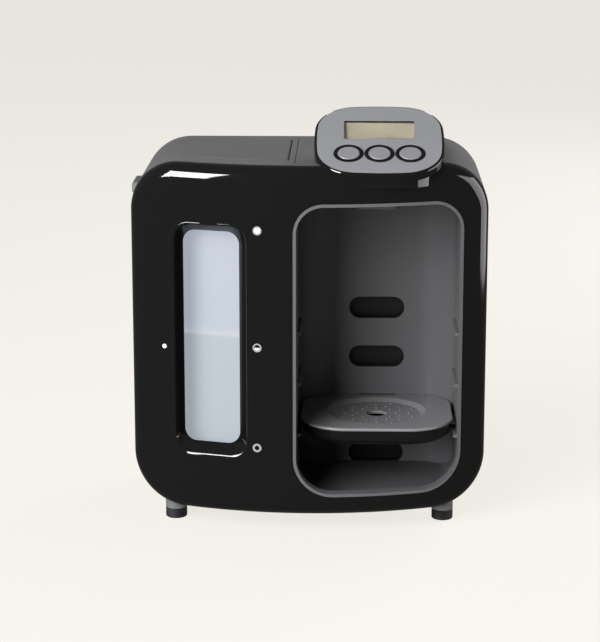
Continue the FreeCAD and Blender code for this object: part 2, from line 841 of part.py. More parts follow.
def bay_liner():
    outer = joined(
        "liner_outer",
        bay_body("liner_box", "0", "(rim_neck - liner_wall)"),
        without(
            "liner_neck",
            bay_neck("liner_neck_blank", "0", "-rim_proud", at_depth("60")),
            bowed("liner_neck_end", "rim_neck", REAR)))
    cups = [
        prism(f"slot_cup_{number}", "y", BAY_BACK,
              f"({BAY_BACK} + slot_depth + liner_wall)", slot_outline, level, "liner_wall")
        for number, level in enumerate(SLOT_LEVELS, start=1)
    ]
    inner = [
        bay_body("bay_space", "liner_wall", "rim_neck"),
        bay_neck("mouth_space", "liner_wall", "-5", at_depth("60")),
        cylinder("spout_hole", "z", "bay_centre", DISH_Y,
                 f"{BAY_CEILING} - 1", "bay_top + 1", "spout_radius + 0.3"),
    ]
    for number, level in enumerate(SLOT_LEVELS, start=1):
        inner.append(prism(
            f"slot_space_{number}", "y", BAY_BACK, f"({BAY_BACK} + slot_depth)",
            slot_outline, level, "0"))
    shell = without("liner_shell", joined("liner_cups", outer, *cups), *inner)
    ledges = []
    for number, level in enumerate(SLOT_LEVELS[:3], start=1):
        left = f"({BAY_LEFT} + liner_wall)"
        right = f"({BAY_RIGHT} - liner_wall)"
        front = at_depth("ledge_front")
        back = at_depth("(ledge_front + ledge_length)")
        for side, low, high in (
                ("left", f"({left} - 1)", f"({left} + ledge_reach)"),
                ("right", f"({right} - ledge_reach)", f"({right} + 1)")):
            bar = block(
                f"ledge_{side}_{number}", low, high, front, back, f"({level} - ledge_height)",
                level)
            inner_x = value(high if side == "left" else low)
            ledges.append(rounded(
                f"ledge_soft_{side}_{number}", bar, "ledge_height / 2 - 0.1",
                lambda edge, at=inner_x: edge.BoundBox.XLength < 0.01
                and abs(edge.BoundBox.XMin - at) < 0.01 and edge.BoundBox.YLength > 1))
    keep("bay_liner", joined("liner_ledged", shell, *ledges))


# Water tank: lift-out body with its collar, hinged lid and foot valve

LID_AXIS = ("(lid_right - lid_thickness)", "(body_top - lid_thickness)")
VALVE_Y = at_depth("valve_depth")


def tank_plan(name, inset, low, high):
    return shared(
        name,
        block(name + "_block", f"(wall + tank_clearance - {HALF} + {inset})",
              f"(tank_right - ({inset}))", FRONT,
              f"({from_rear('tank_rear_space')} - ({inset}))", low, high),
        bowed(name + "_front", f"(tank_front_offset + {inset})", REAR))


def upright(edge):
    box = edge.BoundBox
    return box.XLength < 0.01 and box.YLength < 0.01 and box.ZLength > 1


def tank_body():
    top = "(collar_bottom - seam_gap)"
    blank = tank_plan("tank_blank", "0", "tank_bottom", top)
    corners = rounded("tank_corners", blank, "tank_corner", upright)
    floor = value("tank_bottom")
    soft = rounded(
        "tank_soft", corners, "tank_wall * 2",
        lambda edge: edge.BoundBox.ZMax < floor + 0.01)
    rim = value(top)
    shell = hollow(
        "tank_shell", soft, "tank_wall", lambda face: face.BoundBox.ZMin > rim - 0.01)
    drain = cylinder(
        "tank_drain", "z", "valve_x", VALVE_Y, "tank_bottom - 1", "tank_bottom + 10",
        "valve_radius - 3")
    keep("tank_body", without("tank_drained", shell, drain))


def lid_band(name, gap):
    """The curved sheet that the lid takes up, or its recess when it is grown by a gap."""
    space = without(
        name + "_sheet",
        prism(name + "_outside", "y", FRONT, from_rear(f"(lid_rear_space - {gap})"),
              body_outline, f"-({gap})"),
        prism(name + "_inside", "y", f"({FRONT} - 1)", REAR, body_outline,
              f"(lid_thickness + {gap})"))
    corner = block(
        name + "_corner", f"(-{HALF} - 10)", LID_AXIS[0], FRONT, REAR,
        f"(lid_hem - {gap})", "body_top + 10")
    return shared(
        name, space, corner, bowed(name + "_front", f"(lid_front_offset - {gap})", REAR))


def lid_barrel():
    barrel = cylinder(
        "lid_knuckle_rod", "y", *LID_AXIS, FRONT, from_rear("lid_rear_space"), "lid_thickness")
    return shared("lid_knuckle", barrel, bowed("lid_knuckle_front", "lid_front_offset", REAR))


def barrel_recess():
    """The barrel's recess, open above so that the lid's sheet can stand upright in it."""
    rear = from_rear("(lid_rear_space - lid_gap)")
    rod = cylinder(
        "recess_rod", "y", *LID_AXIS, FRONT, rear, "(lid_thickness + lid_gap)")
    room = block(
        "recess_room", f"({LID_AXIS[0]} - lid_thickness / 2)", "(lid_right + lid_gap * 4 / 5)",
        FRONT, rear, LID_AXIS[1], "body_top + 10")
    return shared(
        "barrel_recess", joined("recess_whole", rod, room),
        bowed("recess_front", "(lid_front_offset - lid_gap)", REAR))


def tank_collar():
    blank = shared(
        "collar_blank",
        prism("collar_outline", "y", FRONT, from_rear("collar_rear_space"), body_outline),
        block("collar_corner", f"(-{HALF} - 10)", "collar_right", FRONT, REAR,
              "collar_bottom", "body_top + 10"),
        bowed("collar_front", "collar_front_offset", REAR))
    roof = "(2 * lid_thickness + lid_gap + collar_wall)"
    inside = shared(
        "collar_inside",
        prism("collar_inside_outline", "y", FRONT, REAR, body_outline, roof),
        tank_plan("collar_inside_plan", "tank_wall", "collar_bottom - 1", "body_top"))
    mouth = shared(
        "collar_mouth",
        prism("mouth_plan", "z", "collar_bottom", "body_top + 1", draw_rounded,
              f"(mouth_inset - {HALF})", "(tank_right - mouth_inset / 2)",
              at_depth("(tank_front_offset + 2 * mouth_inset)"),
              from_rear("(tank_rear_space + mouth_inset / 3)"), "tank_corner"),
        bowed("mouth_front", "(lid_front_offset + collar_wall)", REAR))
    pin_hole = cylinder(
        "collar_pin_hole", "y", *LID_AXIS, PIN_FRONT, PIN_REAR,
        "hinge_pin_radius + hinge_clearance")
    solid = without(
        "collar_cut", blank, lid_band("lid_recess", "lid_gap"),
        barrel_recess(), inside, mouth, pin_hole)
    keep("tank_collar", solid)


PIN_FRONT = at_depth("(collar_front_offset + 6)")
PIN_REAR = from_rear("(collar_rear_space + 2)")


def tank_lid():
    pin_hole = cylinder(
        "lid_pin_hole", "y", *LID_AXIS, FRONT, REAR, "hinge_pin_radius + hinge_clearance")
    solid = without(
        "lid_cut", joined("lid_whole", lid_band("lid_sheet", "0"), lid_barrel()),
        pin_hole)
    keep("tank_lid", solid)
    keep("lid_hinge_pin", cylinder(
        "hinge_pin", "y", *LID_AXIS, f"({PIN_FRONT} + 0.3)", f"({PIN_REAR} - 0.3)",
        "hinge_pin_radius"))
    tab = prism(
        "tab_blank", "y", at_depth("(tab_depth - tab_width / 2)"),
        at_depth("(tab_depth + tab_width / 2)"), draw_rounded,
        f"(-{HALF} - tab_reach)", f"(8 - {HALF})", "lid_hem", "lid_hem + tab_height",
        "tab_reach / 2")
    keep("lid_tab", without(
        "tab_cut", tab, prism("tab_seat", "y", FRONT, REAR, body_outline)))


def ring(name, axis, across, along, low, high, outside, bore):
    return without(
        name, cylinder(name + "_rim", axis, across, along, low, high, outside),
        cylinder(name + "_bore", axis, across, along, f"({low}) - 1", f"({high}) + 1", bore))


def foot_valve():
    """The tank's foot valve: a housing, a spring-loaded poppet and the filter above it."""
    seat_top = "(valve_foot + 2)"
    housing = joined(
        "valve_housing_whole",
        ring("valve_tube", "z", "valve_x", VALVE_Y, "valve_foot", "tank_bottom",
             "valve_radius", "valve_radius - 3"),
        ring("valve_seat", "z", "valve_x", VALVE_Y, "valve_foot", seat_top,
             "valve_radius - 1", "4"),
        block("valve_bridge", "valve_x - valve_radius + 2", "valve_x + valve_radius - 2",
              f"({VALVE_Y} - 1.5)", f"({VALVE_Y} + 1.5)", "tank_bottom - 1.4", "tank_bottom"))
    keep("valve_housing", housing)
    lift = "1.5"
    disc = cylinder(
        "poppet_disc", "z", "valve_x", VALVE_Y, f"({seat_top} + {lift})",
        f"({seat_top} + {lift} + 1.6)", "valve_radius - 5")
    stem = cylinder(
        "poppet_stem", "z", "valve_x", VALVE_Y, "valve_foot - 0.5", f"({seat_top} + {lift} + 1)",
        "1.5")
    keep("valve_poppet", joined("poppet_whole", disc, stem))
    low = value(f"{seat_top} + {lift} + 1.6 + 0.6")
    high = value("tank_bottom - 1.4 - 0.6")
    coils = 4
    helix = Part.makeHelix((high - low) / coils, high - low, 4.5)
    wire_section = Part.Wire(Part.makeCircle(0.45, Vector(4.5, 0, 0), Vector(0, 1, 0)))
    spring = doc.addObject("Part::Feature", "spring_wire")
    spring.Shape = Part.Wire(helix.Edges).makePipeShell([wire_section], True, True)
    spring.Placement = Placement(
        Vector(value("valve_x"), value(VALVE_Y), low), Rotation())
    keep("valve_spring", spring)
    keep("filter_cartridge", ring(
        "filter", "z", "valve_x", VALVE_Y, "tank_bottom + tank_wall",
        "tank_bottom + tank_wall + 38", "valve_radius + 4", "valve_radius - 4"))


PUMP_Y = from_rear("pump_rear_space")
PUMP_FRONT = f"({PUMP_Y} - pump_length / 2)"
PUMP_REAR = f"({PUMP_Y} + pump_length / 2)"
HOSE_RUN_Y = f"({PUMP_FRONT} - port_length - hose_run_ahead)"
CRADLE_FRONT = "(fascia_depth + cradle_front_gap)"


def cradle():
    """The shelf inside the sleeve that carries the tank, with its guide walls and ribs."""
    left = f"(wall + cradle_side_gap - {HALF})"
    inner = "(tank_right + cradle_tank_gap)"
    right = f"({inner} + wall)"
    rear_face = from_rear("(tank_rear_space - cradle_rear_gap)")
    rear = f"({rear_face} + wall)"
    wall_top = "(collar_bottom - cradle_collar_gap)"
    rib_front = f"({HOSE_RUN_Y} - cradle_rib_ahead)"
    rib_top = "(cradle_floor_top - cradle_thickness / 2)"
    floor_low = "(cradle_floor_top - cradle_thickness)"
    foot = "(body_bottom + wall)"
    floor = shared(
        "cradle_floor",
        block("cradle_floor_block", left, right, FRONT, rear, floor_low, "cradle_floor_top"),
        bowed("cradle_floor_front", CRADLE_FRONT, REAR))
    side = shared(
        "cradle_side",
        block("cradle_side_block", inner, right, FRONT, rear, floor_low, wall_top),
        bowed("cradle_side_front", CRADLE_FRONT, REAR))
    back = block(
        "cradle_back", f"(cradle_back_start - {HALF})", right, rear_face, rear, floor_low,
        wall_top)
    rib_left = f"(-{HATCH_HALF} - cradle_rib_lap)"
    front_rib = block(
        "cradle_front_rib", rib_left, inner, rib_front, f"({rib_front} + wall)", foot, rib_top)
    rear_rib = block("cradle_rear_rib", rib_left, inner, rear_face, rear, foot, rib_top)
    hole = cylinder(
        "spigot_hole", "z", "valve_x", VALVE_Y, "cradle_floor_top - 10",
        "cradle_floor_top + 1", f"({SPIGOT_OUTSIDE} + 0.3)")
    keep("tank_cradle", without(
        "cradle_cut", joined("cradle_whole", floor, side, back, front_rib, rear_rib), hole))


SPIGOT_OUTSIDE = "(valve_radius + spigot_clearance + spigot_wall)"


def spigot():
    inside = "(valve_radius + spigot_clearance)"
    flange_top = "(cradle_floor_top - cradle_thickness)"
    cup = ring(
        "spigot_cup", "z", "valve_x", VALVE_Y, "spigot_floor", "cradle_floor_top",
        SPIGOT_OUTSIDE, inside)
    floor = ring(
        "spigot_base", "z", "valve_x", VALVE_Y, "spigot_floor", "spigot_floor + 2",
        f"({SPIGOT_OUTSIDE} - 1)", "hose_bore + 1.5")
    flange = ring(
        "spigot_flange", "z", "valve_x", VALVE_Y, f"({flange_top} - 2.5)", flange_top,
        f"({SPIGOT_OUTSIDE} + 5)", f"({SPIGOT_OUTSIDE} - 1)")
    tail = ring(
        "spigot_tube", "z", "valve_x", VALVE_Y, "spigot_floor - spigot_tail", "spigot_floor + 1",
        "hose_radius + 1", "hose_bore")
    bridge = block(
        "spigot_bridge", f"(valve_x - {inside} - 1)", f"(valve_x + {inside} + 1)",
        f"({VALVE_Y} - 1)", f"({VALVE_Y} + 1)", "spigot_floor + 1", "spigot_floor + 2")
    pin = cylinder(
        "spigot_pin", "z", "valve_x", VALVE_Y, "spigot_floor + 1.5", "valve_foot - 0.8", "1.4")
    keep("spigot", joined("spigot_whole", cup, floor, flange, tail, bridge, pin))
    keep("spigot_seal", ring(
        "seal", "z", "valve_x", VALVE_Y, "cradle_floor_top", "tank_bottom - 0.3",
        SPIGOT_OUTSIDE, "(valve_radius + 0.2)"))


# Platform: a dished top plate on a pull-out drip tray

PLATFORM_HALF = "((body_depth - behind_bay - platform_back_gap - platform_front) / 2)"
DISH_RADIUS = f"({PLATFORM_HALF} - dish_margin)"
DISH_FLOOR = f"({DISH_RADIUS} - dish_slope)"


def platform_plan(sketch, inset):
    reach = f"(bay_width / 2 - liner_wall - platform_side_gap - ({inset}))"
    draw_rounded(
        sketch, f"bay_centre - {reach}", f"bay_centre + {reach}",
        f"{at_depth('platform_front')} + {inset}",
        f"{PLATFORM_BACK} - ({inset})",
        f"(platform_front_corner - ({inset}))", f"(platform_rear_corner - ({inset}))")


PLATE_LOW = "(platform_top_level - platform_thickness)"


def platform_top():
    plate = prism(
        "plate_blank", "z", PLATE_LOW, "platform_top_level", platform_plan, "0")
    top = value("platform_top_level")
    soft = rounded(
        "plate_soft", plate, "platform_thickness / 2 - 0.2",
        lambda edge: edge.BoundBox.ZLength < 0.01)
    belly = cylinder(
        "dish_belly", "z", "bay_centre", DISH_Y, f"({PLATE_LOW} - dish_drop)",
        f"({PLATE_LOW} + 1)", f"{DISH_RADIUS} + 1")
    dish = doc.addObject("Part::Cone", "dish_space")
    bind(dish, "Radius1", DISH_FLOOR)
    bind(dish, "Radius2", DISH_RADIUS)
    bind(dish, "Height", "dish_drop")
    for side, text in (("x", "bay_centre"), ("y", DISH_Y), ("z", "platform_top_level - dish_drop")):
        bind(dish, f".Placement.Base.{side}", text)
    drain = cylinder(
        "plate_drain", "z", "bay_centre", DISH_Y, "platform_top_level - 12",
        "platform_top_level + 1", "drain_radius")
    pips = []
    for number, share in enumerate((0.445, 0.59, 0.745, 0.885)):
        for step in range(8):
            turn = 45 * step + 22.5 * (number % 2)
            pips.append(cylinder(
                f"pip_{number}_{step}", "z",
                f"(bay_centre + {DISH_FLOOR} * {share} * cos({turn}))",
                f"({DISH_Y} + {DISH_FLOOR} * {share} * sin({turn}))",
                "platform_top_level - dish_drop - 0.5",
                "platform_top_level - dish_drop + pip_height", "pip_radius"))
    dished = without("plate_dished", joined("plate_belly", soft, belly), dish, drain)
    keep("platform_top", joined("plate_pipped", dished, *pips))


def drip_tray():
    rim = f"({PLATE_LOW} - seam_gap)"
    low = f"({rim} - tray_height)"
    blank = prism("tray_blank", "z", low, rim, platform_plan, "tray_inset")
    floor = value(low)
    soft = rounded(
        "tray_soft", blank, "tray_roll", lambda edge: edge.BoundBox.ZMax < floor + 0.01)
    top = value(rim)
    shell = hollow(
        "tray_shell", soft, "tray_wall", lambda face: face.BoundBox.ZMin > top - 0.01)
    back = f"({PLATFORM_BACK} - tray_inset)"
    tongue_low = f"({SLOT_LEVELS[2]} - tongue_height / 2)"
    tongue = block(
        "tray_tongue", "(bay_centre - tongue_width / 2)", "(bay_centre + tongue_width / 2)",
        f"({back} - tray_wall / 2)", f"({BAY_BACK} + tongue_reach)", tongue_low,
        f"({tongue_low} + tongue_height)")
    runners = []
    inside = "(bay_width / 2 - liner_wall)"
    for side, sign in (("left", "-"), ("right", "+")):
        ends = (f"(bay_centre {sign} ({inside} - 0.6))",
                f"(bay_centre {sign} ({inside} - platform_side_gap - tray_inset - 1))")
        first, last = ends if side == "left" else ends[::-1]
        runners.append(block(
            f"tray_runner_{side}", first, last, at_depth("(ledge_front + 22)"),
            at_depth("(ledge_front + ledge_length - 4)"), f"({SLOT_LEVELS[2]} + 0.3)",
            f"({SLOT_LEVELS[2]} + 2.8)"))
    keep("drip_tray", joined("tray_whole", shell, tongue, *runners))


# Console: a tilted rounded-square control panel on a skirt over the front's top edge

def bulged_outline(sketch, inset):
    """A rounded square with gently bowed sides, drawn from the console's front edge."""
    half_width = value(f"console_width / 2 - ({inset})")
    half_length = value(f"console_length / 2 - ({inset})")
    corner = value(f"console_corner - ({inset})")
    bulge = value("console_bulge")
    middle = value("console_length / 2")
    gap_x = half_width - bulge
    gap_y = half_length - bulge
    reach = bulge - corner
    # the corner's centre lies one reach from both side arcs' centres
    span = math.hypot(gap_x, gap_y)
    along = math.sqrt(reach ** 2 - (span / 2) ** 2)
    centre_x = gap_x / 2 + along * abs(gap_y) / span
    centre_y = gap_y / 2 + along * abs(gap_x) / span
    lean_side = math.degrees(math.atan2(centre_y, centre_x - gap_x))
    lean_end = math.degrees(math.atan2(centre_y - gap_y, centre_x))

    def arc(x, y, radius, start, stop):
        circle = Part.Circle(Vector(x, middle + y, 0), Vector(0, 0, 1), radius)
        return sketch.addGeometry(
            Part.ArcOfCircle(circle, math.radians(start), math.radians(stop)), False)

    arcs = [
        arc(gap_x, 0, bulge, -lean_side, lean_side),
        arc(centre_x, centre_y, corner, lean_side, lean_end),
        arc(0, gap_y, bulge, lean_end, 180 - lean_end),
        arc(-centre_x, centre_y, corner, 180 - lean_end, 180 - lean_side),
        arc(-gap_x, 0, bulge, 180 - lean_side, 180 + lean_side),
        arc(-centre_x, -centre_y, corner, 180 + lean_side, 180 + lean_end),
        arc(0, -gap_y, bulge, 180 + lean_end, 360 - lean_end),
        arc(centre_x, -centre_y, corner, 360 - lean_end, 360 - lean_side),
    ]
    for first, second in zip(arcs, arcs[1:] + arcs[:1]):
        sketch.addConstraint(Sketcher.Constraint("Tangent", first, 2, second, 1))
    side = f"(console_width / 2 - ({inset}) - console_bulge)"
    end = f"(console_length / 2 - ({inset}) - console_bulge)"
    places = ((side, "0"), ("0", end), (f"-{side}", "0"), ("0", f"-{end}"))
    for geometry, (across, up) in zip(arcs[::2], places):
        fix_point(sketch, geometry, 3, across, f"({up} + console_length / 2)")
        fix_radius(sketch, geometry, "console_bulge")
    for geometry in arcs[1::2]:
        fix_radius(sketch, geometry, f"(console_corner - ({inset}))")


def tilted(name, low, high, draw, *sizes):
    """A prism square to the console's face; levels count up from the face itself."""
    sketch = doc.addObject("Sketcher::SketchObject", name + "_outline")
    draw(sketch, *sizes)
    turn = value("console_tilt")
    normal = Vector(0, -math.sin(math.radians(turn)), math.cos(math.radians(turn)))
    places = {
        "x": "bay_centre",
        "y": f"({CONSOLE_Y} - sin(console_tilt) * ({low}))",
        "z": f"(console_front_level + cos(console_tilt) * ({low}))",
    }
    sketch.Placement = Placement(
        Vector(*[value(text) for text in places.values()]), Rotation(Vector(1, 0, 0), turn))
    for axis, text in places.items():
        bind(sketch, f".Placement.Base.{axis}", text)
    solid = doc.addObject("Part::Extrusion", name)
    solid.Base = sketch
    solid.DirMode = "Custom"
    solid.Dir = normal
    bind(solid, "LengthFwd", f"({high}) - ({low})")
    solid.Solid = True
    return solid


def console_body():
    top = tilted("console_top", "-console_edge", "0", bulged_outline, "0")
    doc.recompute()
    turn = math.radians(value("console_tilt"))
    base = Vector(0, value(CONSOLE_Y), value("console_front_level"))

    def on_face(edge):
        normal = Vector(0, -math.sin(turn), math.cos(turn))
        return all(abs((point - base).dot(normal)) < 0.01 for point in edge.discretize(4))

    soft = rounded("console_soft", top, "console_edge_round", on_face)
    skirt = shared(
        "console_skirt",
        prism("skirt_blank", "z", "skirt_foot", "body_top + 60", draw_rounded,
              "(bay_centre - console_width / 2 + skirt_inset)",
              "(bay_centre + console_width / 2 - skirt_inset)", at_depth("skirt_front"),
              at_depth("(skirt_front + skirt_length)"), "skirt_corner"),
        tilted("skirt_limit", "-200", "(1 - console_edge)", draw_rectangle,
               "-200", "200", "-200", "200"))
    machine = shared(
        "machine_blank",
        prism("machine_outline", "y", f"({FRONT} - 1)", REAR, body_outline, "-seam_gap"),
        bowed("machine_front", "-seam_gap", REAR))
    machine_soft = rounded(
        "machine_soft", machine, "edge_roll",
        on_cylinder(value("bow_radius + seam_gap"), value(BOW_CENTRE)))
    machine_notched = without("machine_notched", machine_soft, console_seat("console_lip", "0"))
    recess = tilted(
        "face_recess", "-faceplate_thickness", "5", bulged_outline, "faceplate_inset")
    room = tilted(
        "button_room", BUTTON_FLOOR, "0", draw_rounded, "-room_half", "room_half", "room_start",
        "room_stop", "room_corner")
    board_room = tilted(
        "board_room", BOARD_FLOOR, "0", draw_rectangle, "-board_half", "board_half",
        "board_start", "board_stop")
    keep("console_body", without(
        "console_cut", joined("console_whole", soft, skirt), machine_notched, recess, room,
        board_room))


BUTTON_FLOOR = "(-faceplate_thickness - room_depth)"
LENS_FLOOR = "(-faceplate_thickness - lens_thickness)"
MODULE_FLOOR = f"({LENS_FLOOR} - module_thickness)"
BOARD_FLOOR = f"({MODULE_FLOOR} - board_thickness)"
SCREEN_LOW = "(screen_centre - screen_length / 2)"
SCREEN_HIGH = "(screen_centre + screen_length / 2)"
BUTTON_PLACES = {"left": "-button_pitch", "middle": "0", "right": "button_pitch"}


def console_fittings():
    plate = tilted(
        "faceplate_blank", "-faceplate_thickness", "0", bulged_outline,
        "(faceplate_inset + press_gap)")
    openings = [tilted(
        "screen_opening", "-5", "1", draw_rounded, "-screen_width / 2", "screen_width / 2",
        SCREEN_LOW, SCREEN_HIGH, "screen_corner")]
    bezels = []
    for side, across in BUTTON_PLACES.items():
        openings.append(tilted(
            f"bezel_hole_{side}", "-5", "1", draw_circle, across, "button_row",
            "bezel_radius + press_gap"))
        bore = tilted(
            f"bezel_bore_{side}", "-5", "5", draw_circle, across, "button_row",
            "button_radius + button_gap")
        bezel_rim = tilted(
            f"bezel_rim_{side}", "-faceplate_thickness", "bezel_proud", draw_circle, across,
            "button_row", "bezel_radius")
        bezel_foot = tilted(
            f"bezel_foot_{side}", "(-faceplate_thickness - bezel_flange)",
            "-faceplate_thickness", draw_circle, across, "button_row",
            "bezel_radius + bezel_flange")
        bezels.append(without(
            f"bezel_{side}", joined(f"bezel_whole_{side}", bezel_rim, bezel_foot), bore))
    keep("console_faceplate", without("faceplate_cut", plate, *openings))
    group = doc.addObject("Part::Compound", "bezels")
    group.Links = bezels
    keep("button_bezels", group)
    keep("screen_lens", tilted(
        "lens", LENS_FLOOR, "-faceplate_thickness", draw_rectangle,
        "(-screen_width / 2 - lens_lap)", "(screen_width / 2 + lens_lap)",
        f"({SCREEN_LOW} - lens_lap)", f"({SCREEN_HIGH} + lens_lap)"))
    keep("screen_module", tilted(
        "module", MODULE_FLOOR, LENS_FLOOR, draw_rectangle, "(-screen_width / 2 - module_lap)",
        "(screen_width / 2 + module_lap)", f"({SCREEN_LOW} - module_lap)",
        f"({SCREEN_HIGH} + module_lap)"))
    keep("control_board", tilted(
        "board", BOARD_FLOOR, MODULE_FLOOR, draw_rectangle, "(seam_gap - board_half)",
        "(board_half - seam_gap)", "(board_start + seam_gap)", "(board_stop - seam_gap)"))


def buttons():
    """Three domed caps, each with a stem that stops just above the control board."""
    for side, across in BUTTON_PLACES.items():
        cap = tilted(
            f"cap_{side}", "(-faceplate_thickness - cap_proud)", "cap_proud", draw_circle, across,
            "button_row", "button_radius")
        turn = math.radians(value("console_tilt"))
        base = Vector(0, value(CONSOLE_Y), value("console_front_level"))
        normal = Vector(0, -math.sin(turn), math.cos(turn))

        proud = value("cap_proud")

        def on_top(edge):
            return all(abs((point - base).dot(normal) - proud) < 0.01
                       for point in edge.discretize(4))

        soft = rounded(f"cap_soft_{side}", cap, "faceplate_thickness / 2", on_top)
        stem = tilted(
            f"cap_stem_{side}", f"({MODULE_FLOOR} + button_travel + press_gap)",
            "(-faceplate_thickness)", draw_circle, across, "button_row", "cap_stem_radius")
        keep(f"button_{side}", joined(f"button_whole_{side}", soft, stem))


# Water path: pump, boiler, valve block, nozzle and hoses

def hose(node, points, bend_size):
    """A tube along straight runs joined by tangent arcs."""
    bend = value(bend_size)
    path = [Vector(*[value(text) for text in point]) for point in points]
    edges = []
    start = path[0]
    for before, corner, after in zip(path, path[1:], path[2:]):
        first = (before - corner).normalize()
        second = (after - corner).normalize()
        half = first.getAngle(second) / 2
        trim = bend / math.tan(half)
        begin = corner + first * trim
        finish = corner + second * trim
        bisector = (first + second).normalize()
        centre = corner + bisector * (bend / math.sin(half))
        middle = centre - bisector * bend
        edges.append(Part.LineSegment(start, begin).toShape())
        edges.append(Part.Arc(begin, middle, finish).toShape())
        start = finish
    edges.append(Part.LineSegment(start, path[-1]).toShape())
    spine = Part.Wire(edges)
    heading = path[1] - path[0]
    outside = Part.Wire(Part.makeCircle(value("hose_radius"), path[0], heading))
    inside = Part.Wire(Part.makeCircle(value("hose_bore"), path[0], heading))
    tube = doc.addObject("Part::Feature", node + "_tube")
    tube.Shape = spine.makePipeShell([outside], True, False).cut(
        spine.makePipeShell([inside], True, False))
    keep(node, tube)


PUMP_Z = "(body_bottom + wall + 5 + pump_radius)"
BOILER_Y = from_rear("boiler_rear_space")
BOILER_TOP = "(boiler_bottom + boiler_length)"
BLOCK_REAR = f"({DISH_Y} + valve_block_length / 2)"
BLOCK_Z = "(bay_top + valve_block_height / 2)"


def water_path():
    barrel = cylinder("pump_barrel", "y", "pump_x", PUMP_Z, PUMP_FRONT, PUMP_REAR, "pump_radius")
    barrel_soft = rounded("pump_soft", barrel, "wall", lambda edge: edge.BoundBox.YLength < 0.01)
    ports = cylinder(
        "pump_ports", "y", "pump_x", PUMP_Z, f"({PUMP_FRONT} - port_length)", f"({PUMP_REAR} + port_length)",
        "hose_radius")
    keep("water_pump", joined("pump_whole", barrel_soft, ports))
    saddles = []
    for number, place in enumerate(("-saddle_spread", "saddle_spread"), start=1):
        saddle = block(
            f"saddle_block_{number}", "pump_x - saddle_half", "pump_x + saddle_half",
            f"({PUMP_Y} + {place} - saddle_length / 2)",
            f"({PUMP_Y} + {place} + saddle_length / 2)", "body_bottom + wall + 2",
            f"({PUMP_Z} - pump_radius / 2)")
        seat = cylinder(
            f"saddle_seat_{number}", "y", "pump_x", PUMP_Z, PUMP_FRONT, PUMP_REAR,
            "pump_radius + press_gap")
        saddles.append(without(f"saddle_{number}", saddle, seat))
    group = doc.addObject("Part::Compound", "saddles")
    group.Links = saddles
    keep("pump_mounts", group)

    shell = cylinder(
        "boiler_barrel", "z", "boiler_x", BOILER_Y, "boiler_bottom", BOILER_TOP,
        "boiler_radius")
    boiler_soft = rounded(
        "boiler_soft", shell, "wall * 2", lambda edge: edge.BoundBox.ZLength < 0.01)
    boiler_ports = cylinder(
        "boiler_ports", "z", "boiler_x", BOILER_Y, f"(boiler_bottom - port_length)",
        f"({BOILER_TOP} + port_length)", "hose_radius")
    keep("boiler", joined("boiler_whole", boiler_soft, boiler_ports))
    straps = []
    for number, level in enumerate(("strap_low", "boiler_length - strap_high"), start=1):
        low = f"(boiler_bottom + {level})"
        high = f"({low} + strap_height)"
        band = cylinder(
            f"strap_band_{number}", "z", "boiler_x", BOILER_Y, low, high,
            "boiler_radius + strap_wall")
        lug = block(
            f"strap_lug_{number}", "boiler_x - lug_half", "boiler_x + lug_half",
            f"({BAY_BACK} + liner_wall)", f"({BAY_BACK} + liner_wall + lug_thickness)", low, high)
        bore = cylinder(
            f"strap_bore_{number}", "z", "boiler_x", BOILER_Y, f"{low} - 1", f"{high} + 1",
            "boiler_radius + press_gap")
        straps.append(without(f"strap_{number}", joined(f"strap_whole_{number}", band, lug), bore))
    strap_group = doc.addObject("Part::Compound", "straps")
    strap_group.Links = straps
    keep("boiler_straps", strap_group)
    stat = cylinder(
        "stat_blank", "y", "boiler_x", "boiler_bottom + boiler_length / 2", BOILER_Y,
        f"({BOILER_Y} + boiler_radius + thermostat_height)", "thermostat_radius")
    keep("thermostat", without("stat_cut", stat, cylinder(
        "stat_seat", "z", "boiler_x", BOILER_Y, "boiler_bottom", BOILER_TOP,
        "boiler_radius + press_gap")))

    block_body = block(
        "valve_block", "bay_centre - valve_block_width / 2", "bay_centre + valve_block_width / 2",
        f"({DISH_Y} - valve_block_length / 2)", BLOCK_REAR, "bay_top",
        "bay_top + valve_block_height")
    coil = cylinder(
        "valve_coil", "x", DISH_Y, BLOCK_Z, "bay_centre + valve_block_width / 2 - 1",
        "bay_centre + valve_block_width / 2 + coil_length", "coil_radius")
    inlet = cylinder(
        "valve_inlet", "y", "bay_centre", BLOCK_Z, f"({BLOCK_REAR} - 1)",
        f"({BLOCK_REAR} + port_length)", "hose_radius")
    keep("solenoid_valve", joined("valve_whole", block_body, coil, inlet))
    shroud_left = "(bay_centre - nozzle_width / 2)"
    shroud_right = "(bay_centre + nozzle_width / 2)"
    shroud = prism(
        "shroud_blank", "z", f"({BAY_CEILING} - nozzle_drop)", BAY_CEILING, draw_rounded,
        shroud_left, shroud_right, f"({DISH_Y} - nozzle_length / 2)",
        f"({DISH_Y} + nozzle_length / 2)", "nozzle_corner")
    shroud_space = prism(
        "shroud_space", "z", f"({BAY_CEILING} - nozzle_drop - 1)", f"({BAY_CEILING} - nozzle_roof)",
        draw_rounded, f"({shroud_left} + wall)", f"({shroud_right} - wall)",
        f"({DISH_Y} - nozzle_length / 2 + wall)", f"({DISH_Y} + nozzle_length / 2 - wall)",
        "(nozzle_corner - wall)")
    spout_way = cylinder(
        "shroud_spout_hole", "z", "bay_centre", DISH_Y, "bay_top - 40", "bay_top + 1",
        "spout_radius + seam_gap")
    keep("nozzle_shroud", without("shroud_cut", shroud, shroud_space, spout_way))
    keep("nozzle_spout", ring(
        "spout", "z", "bay_centre", DISH_Y, f"({BAY_CEILING} - nozzle_drop + 2)", "bay_top",
        "spout_radius", "spout_bore"))

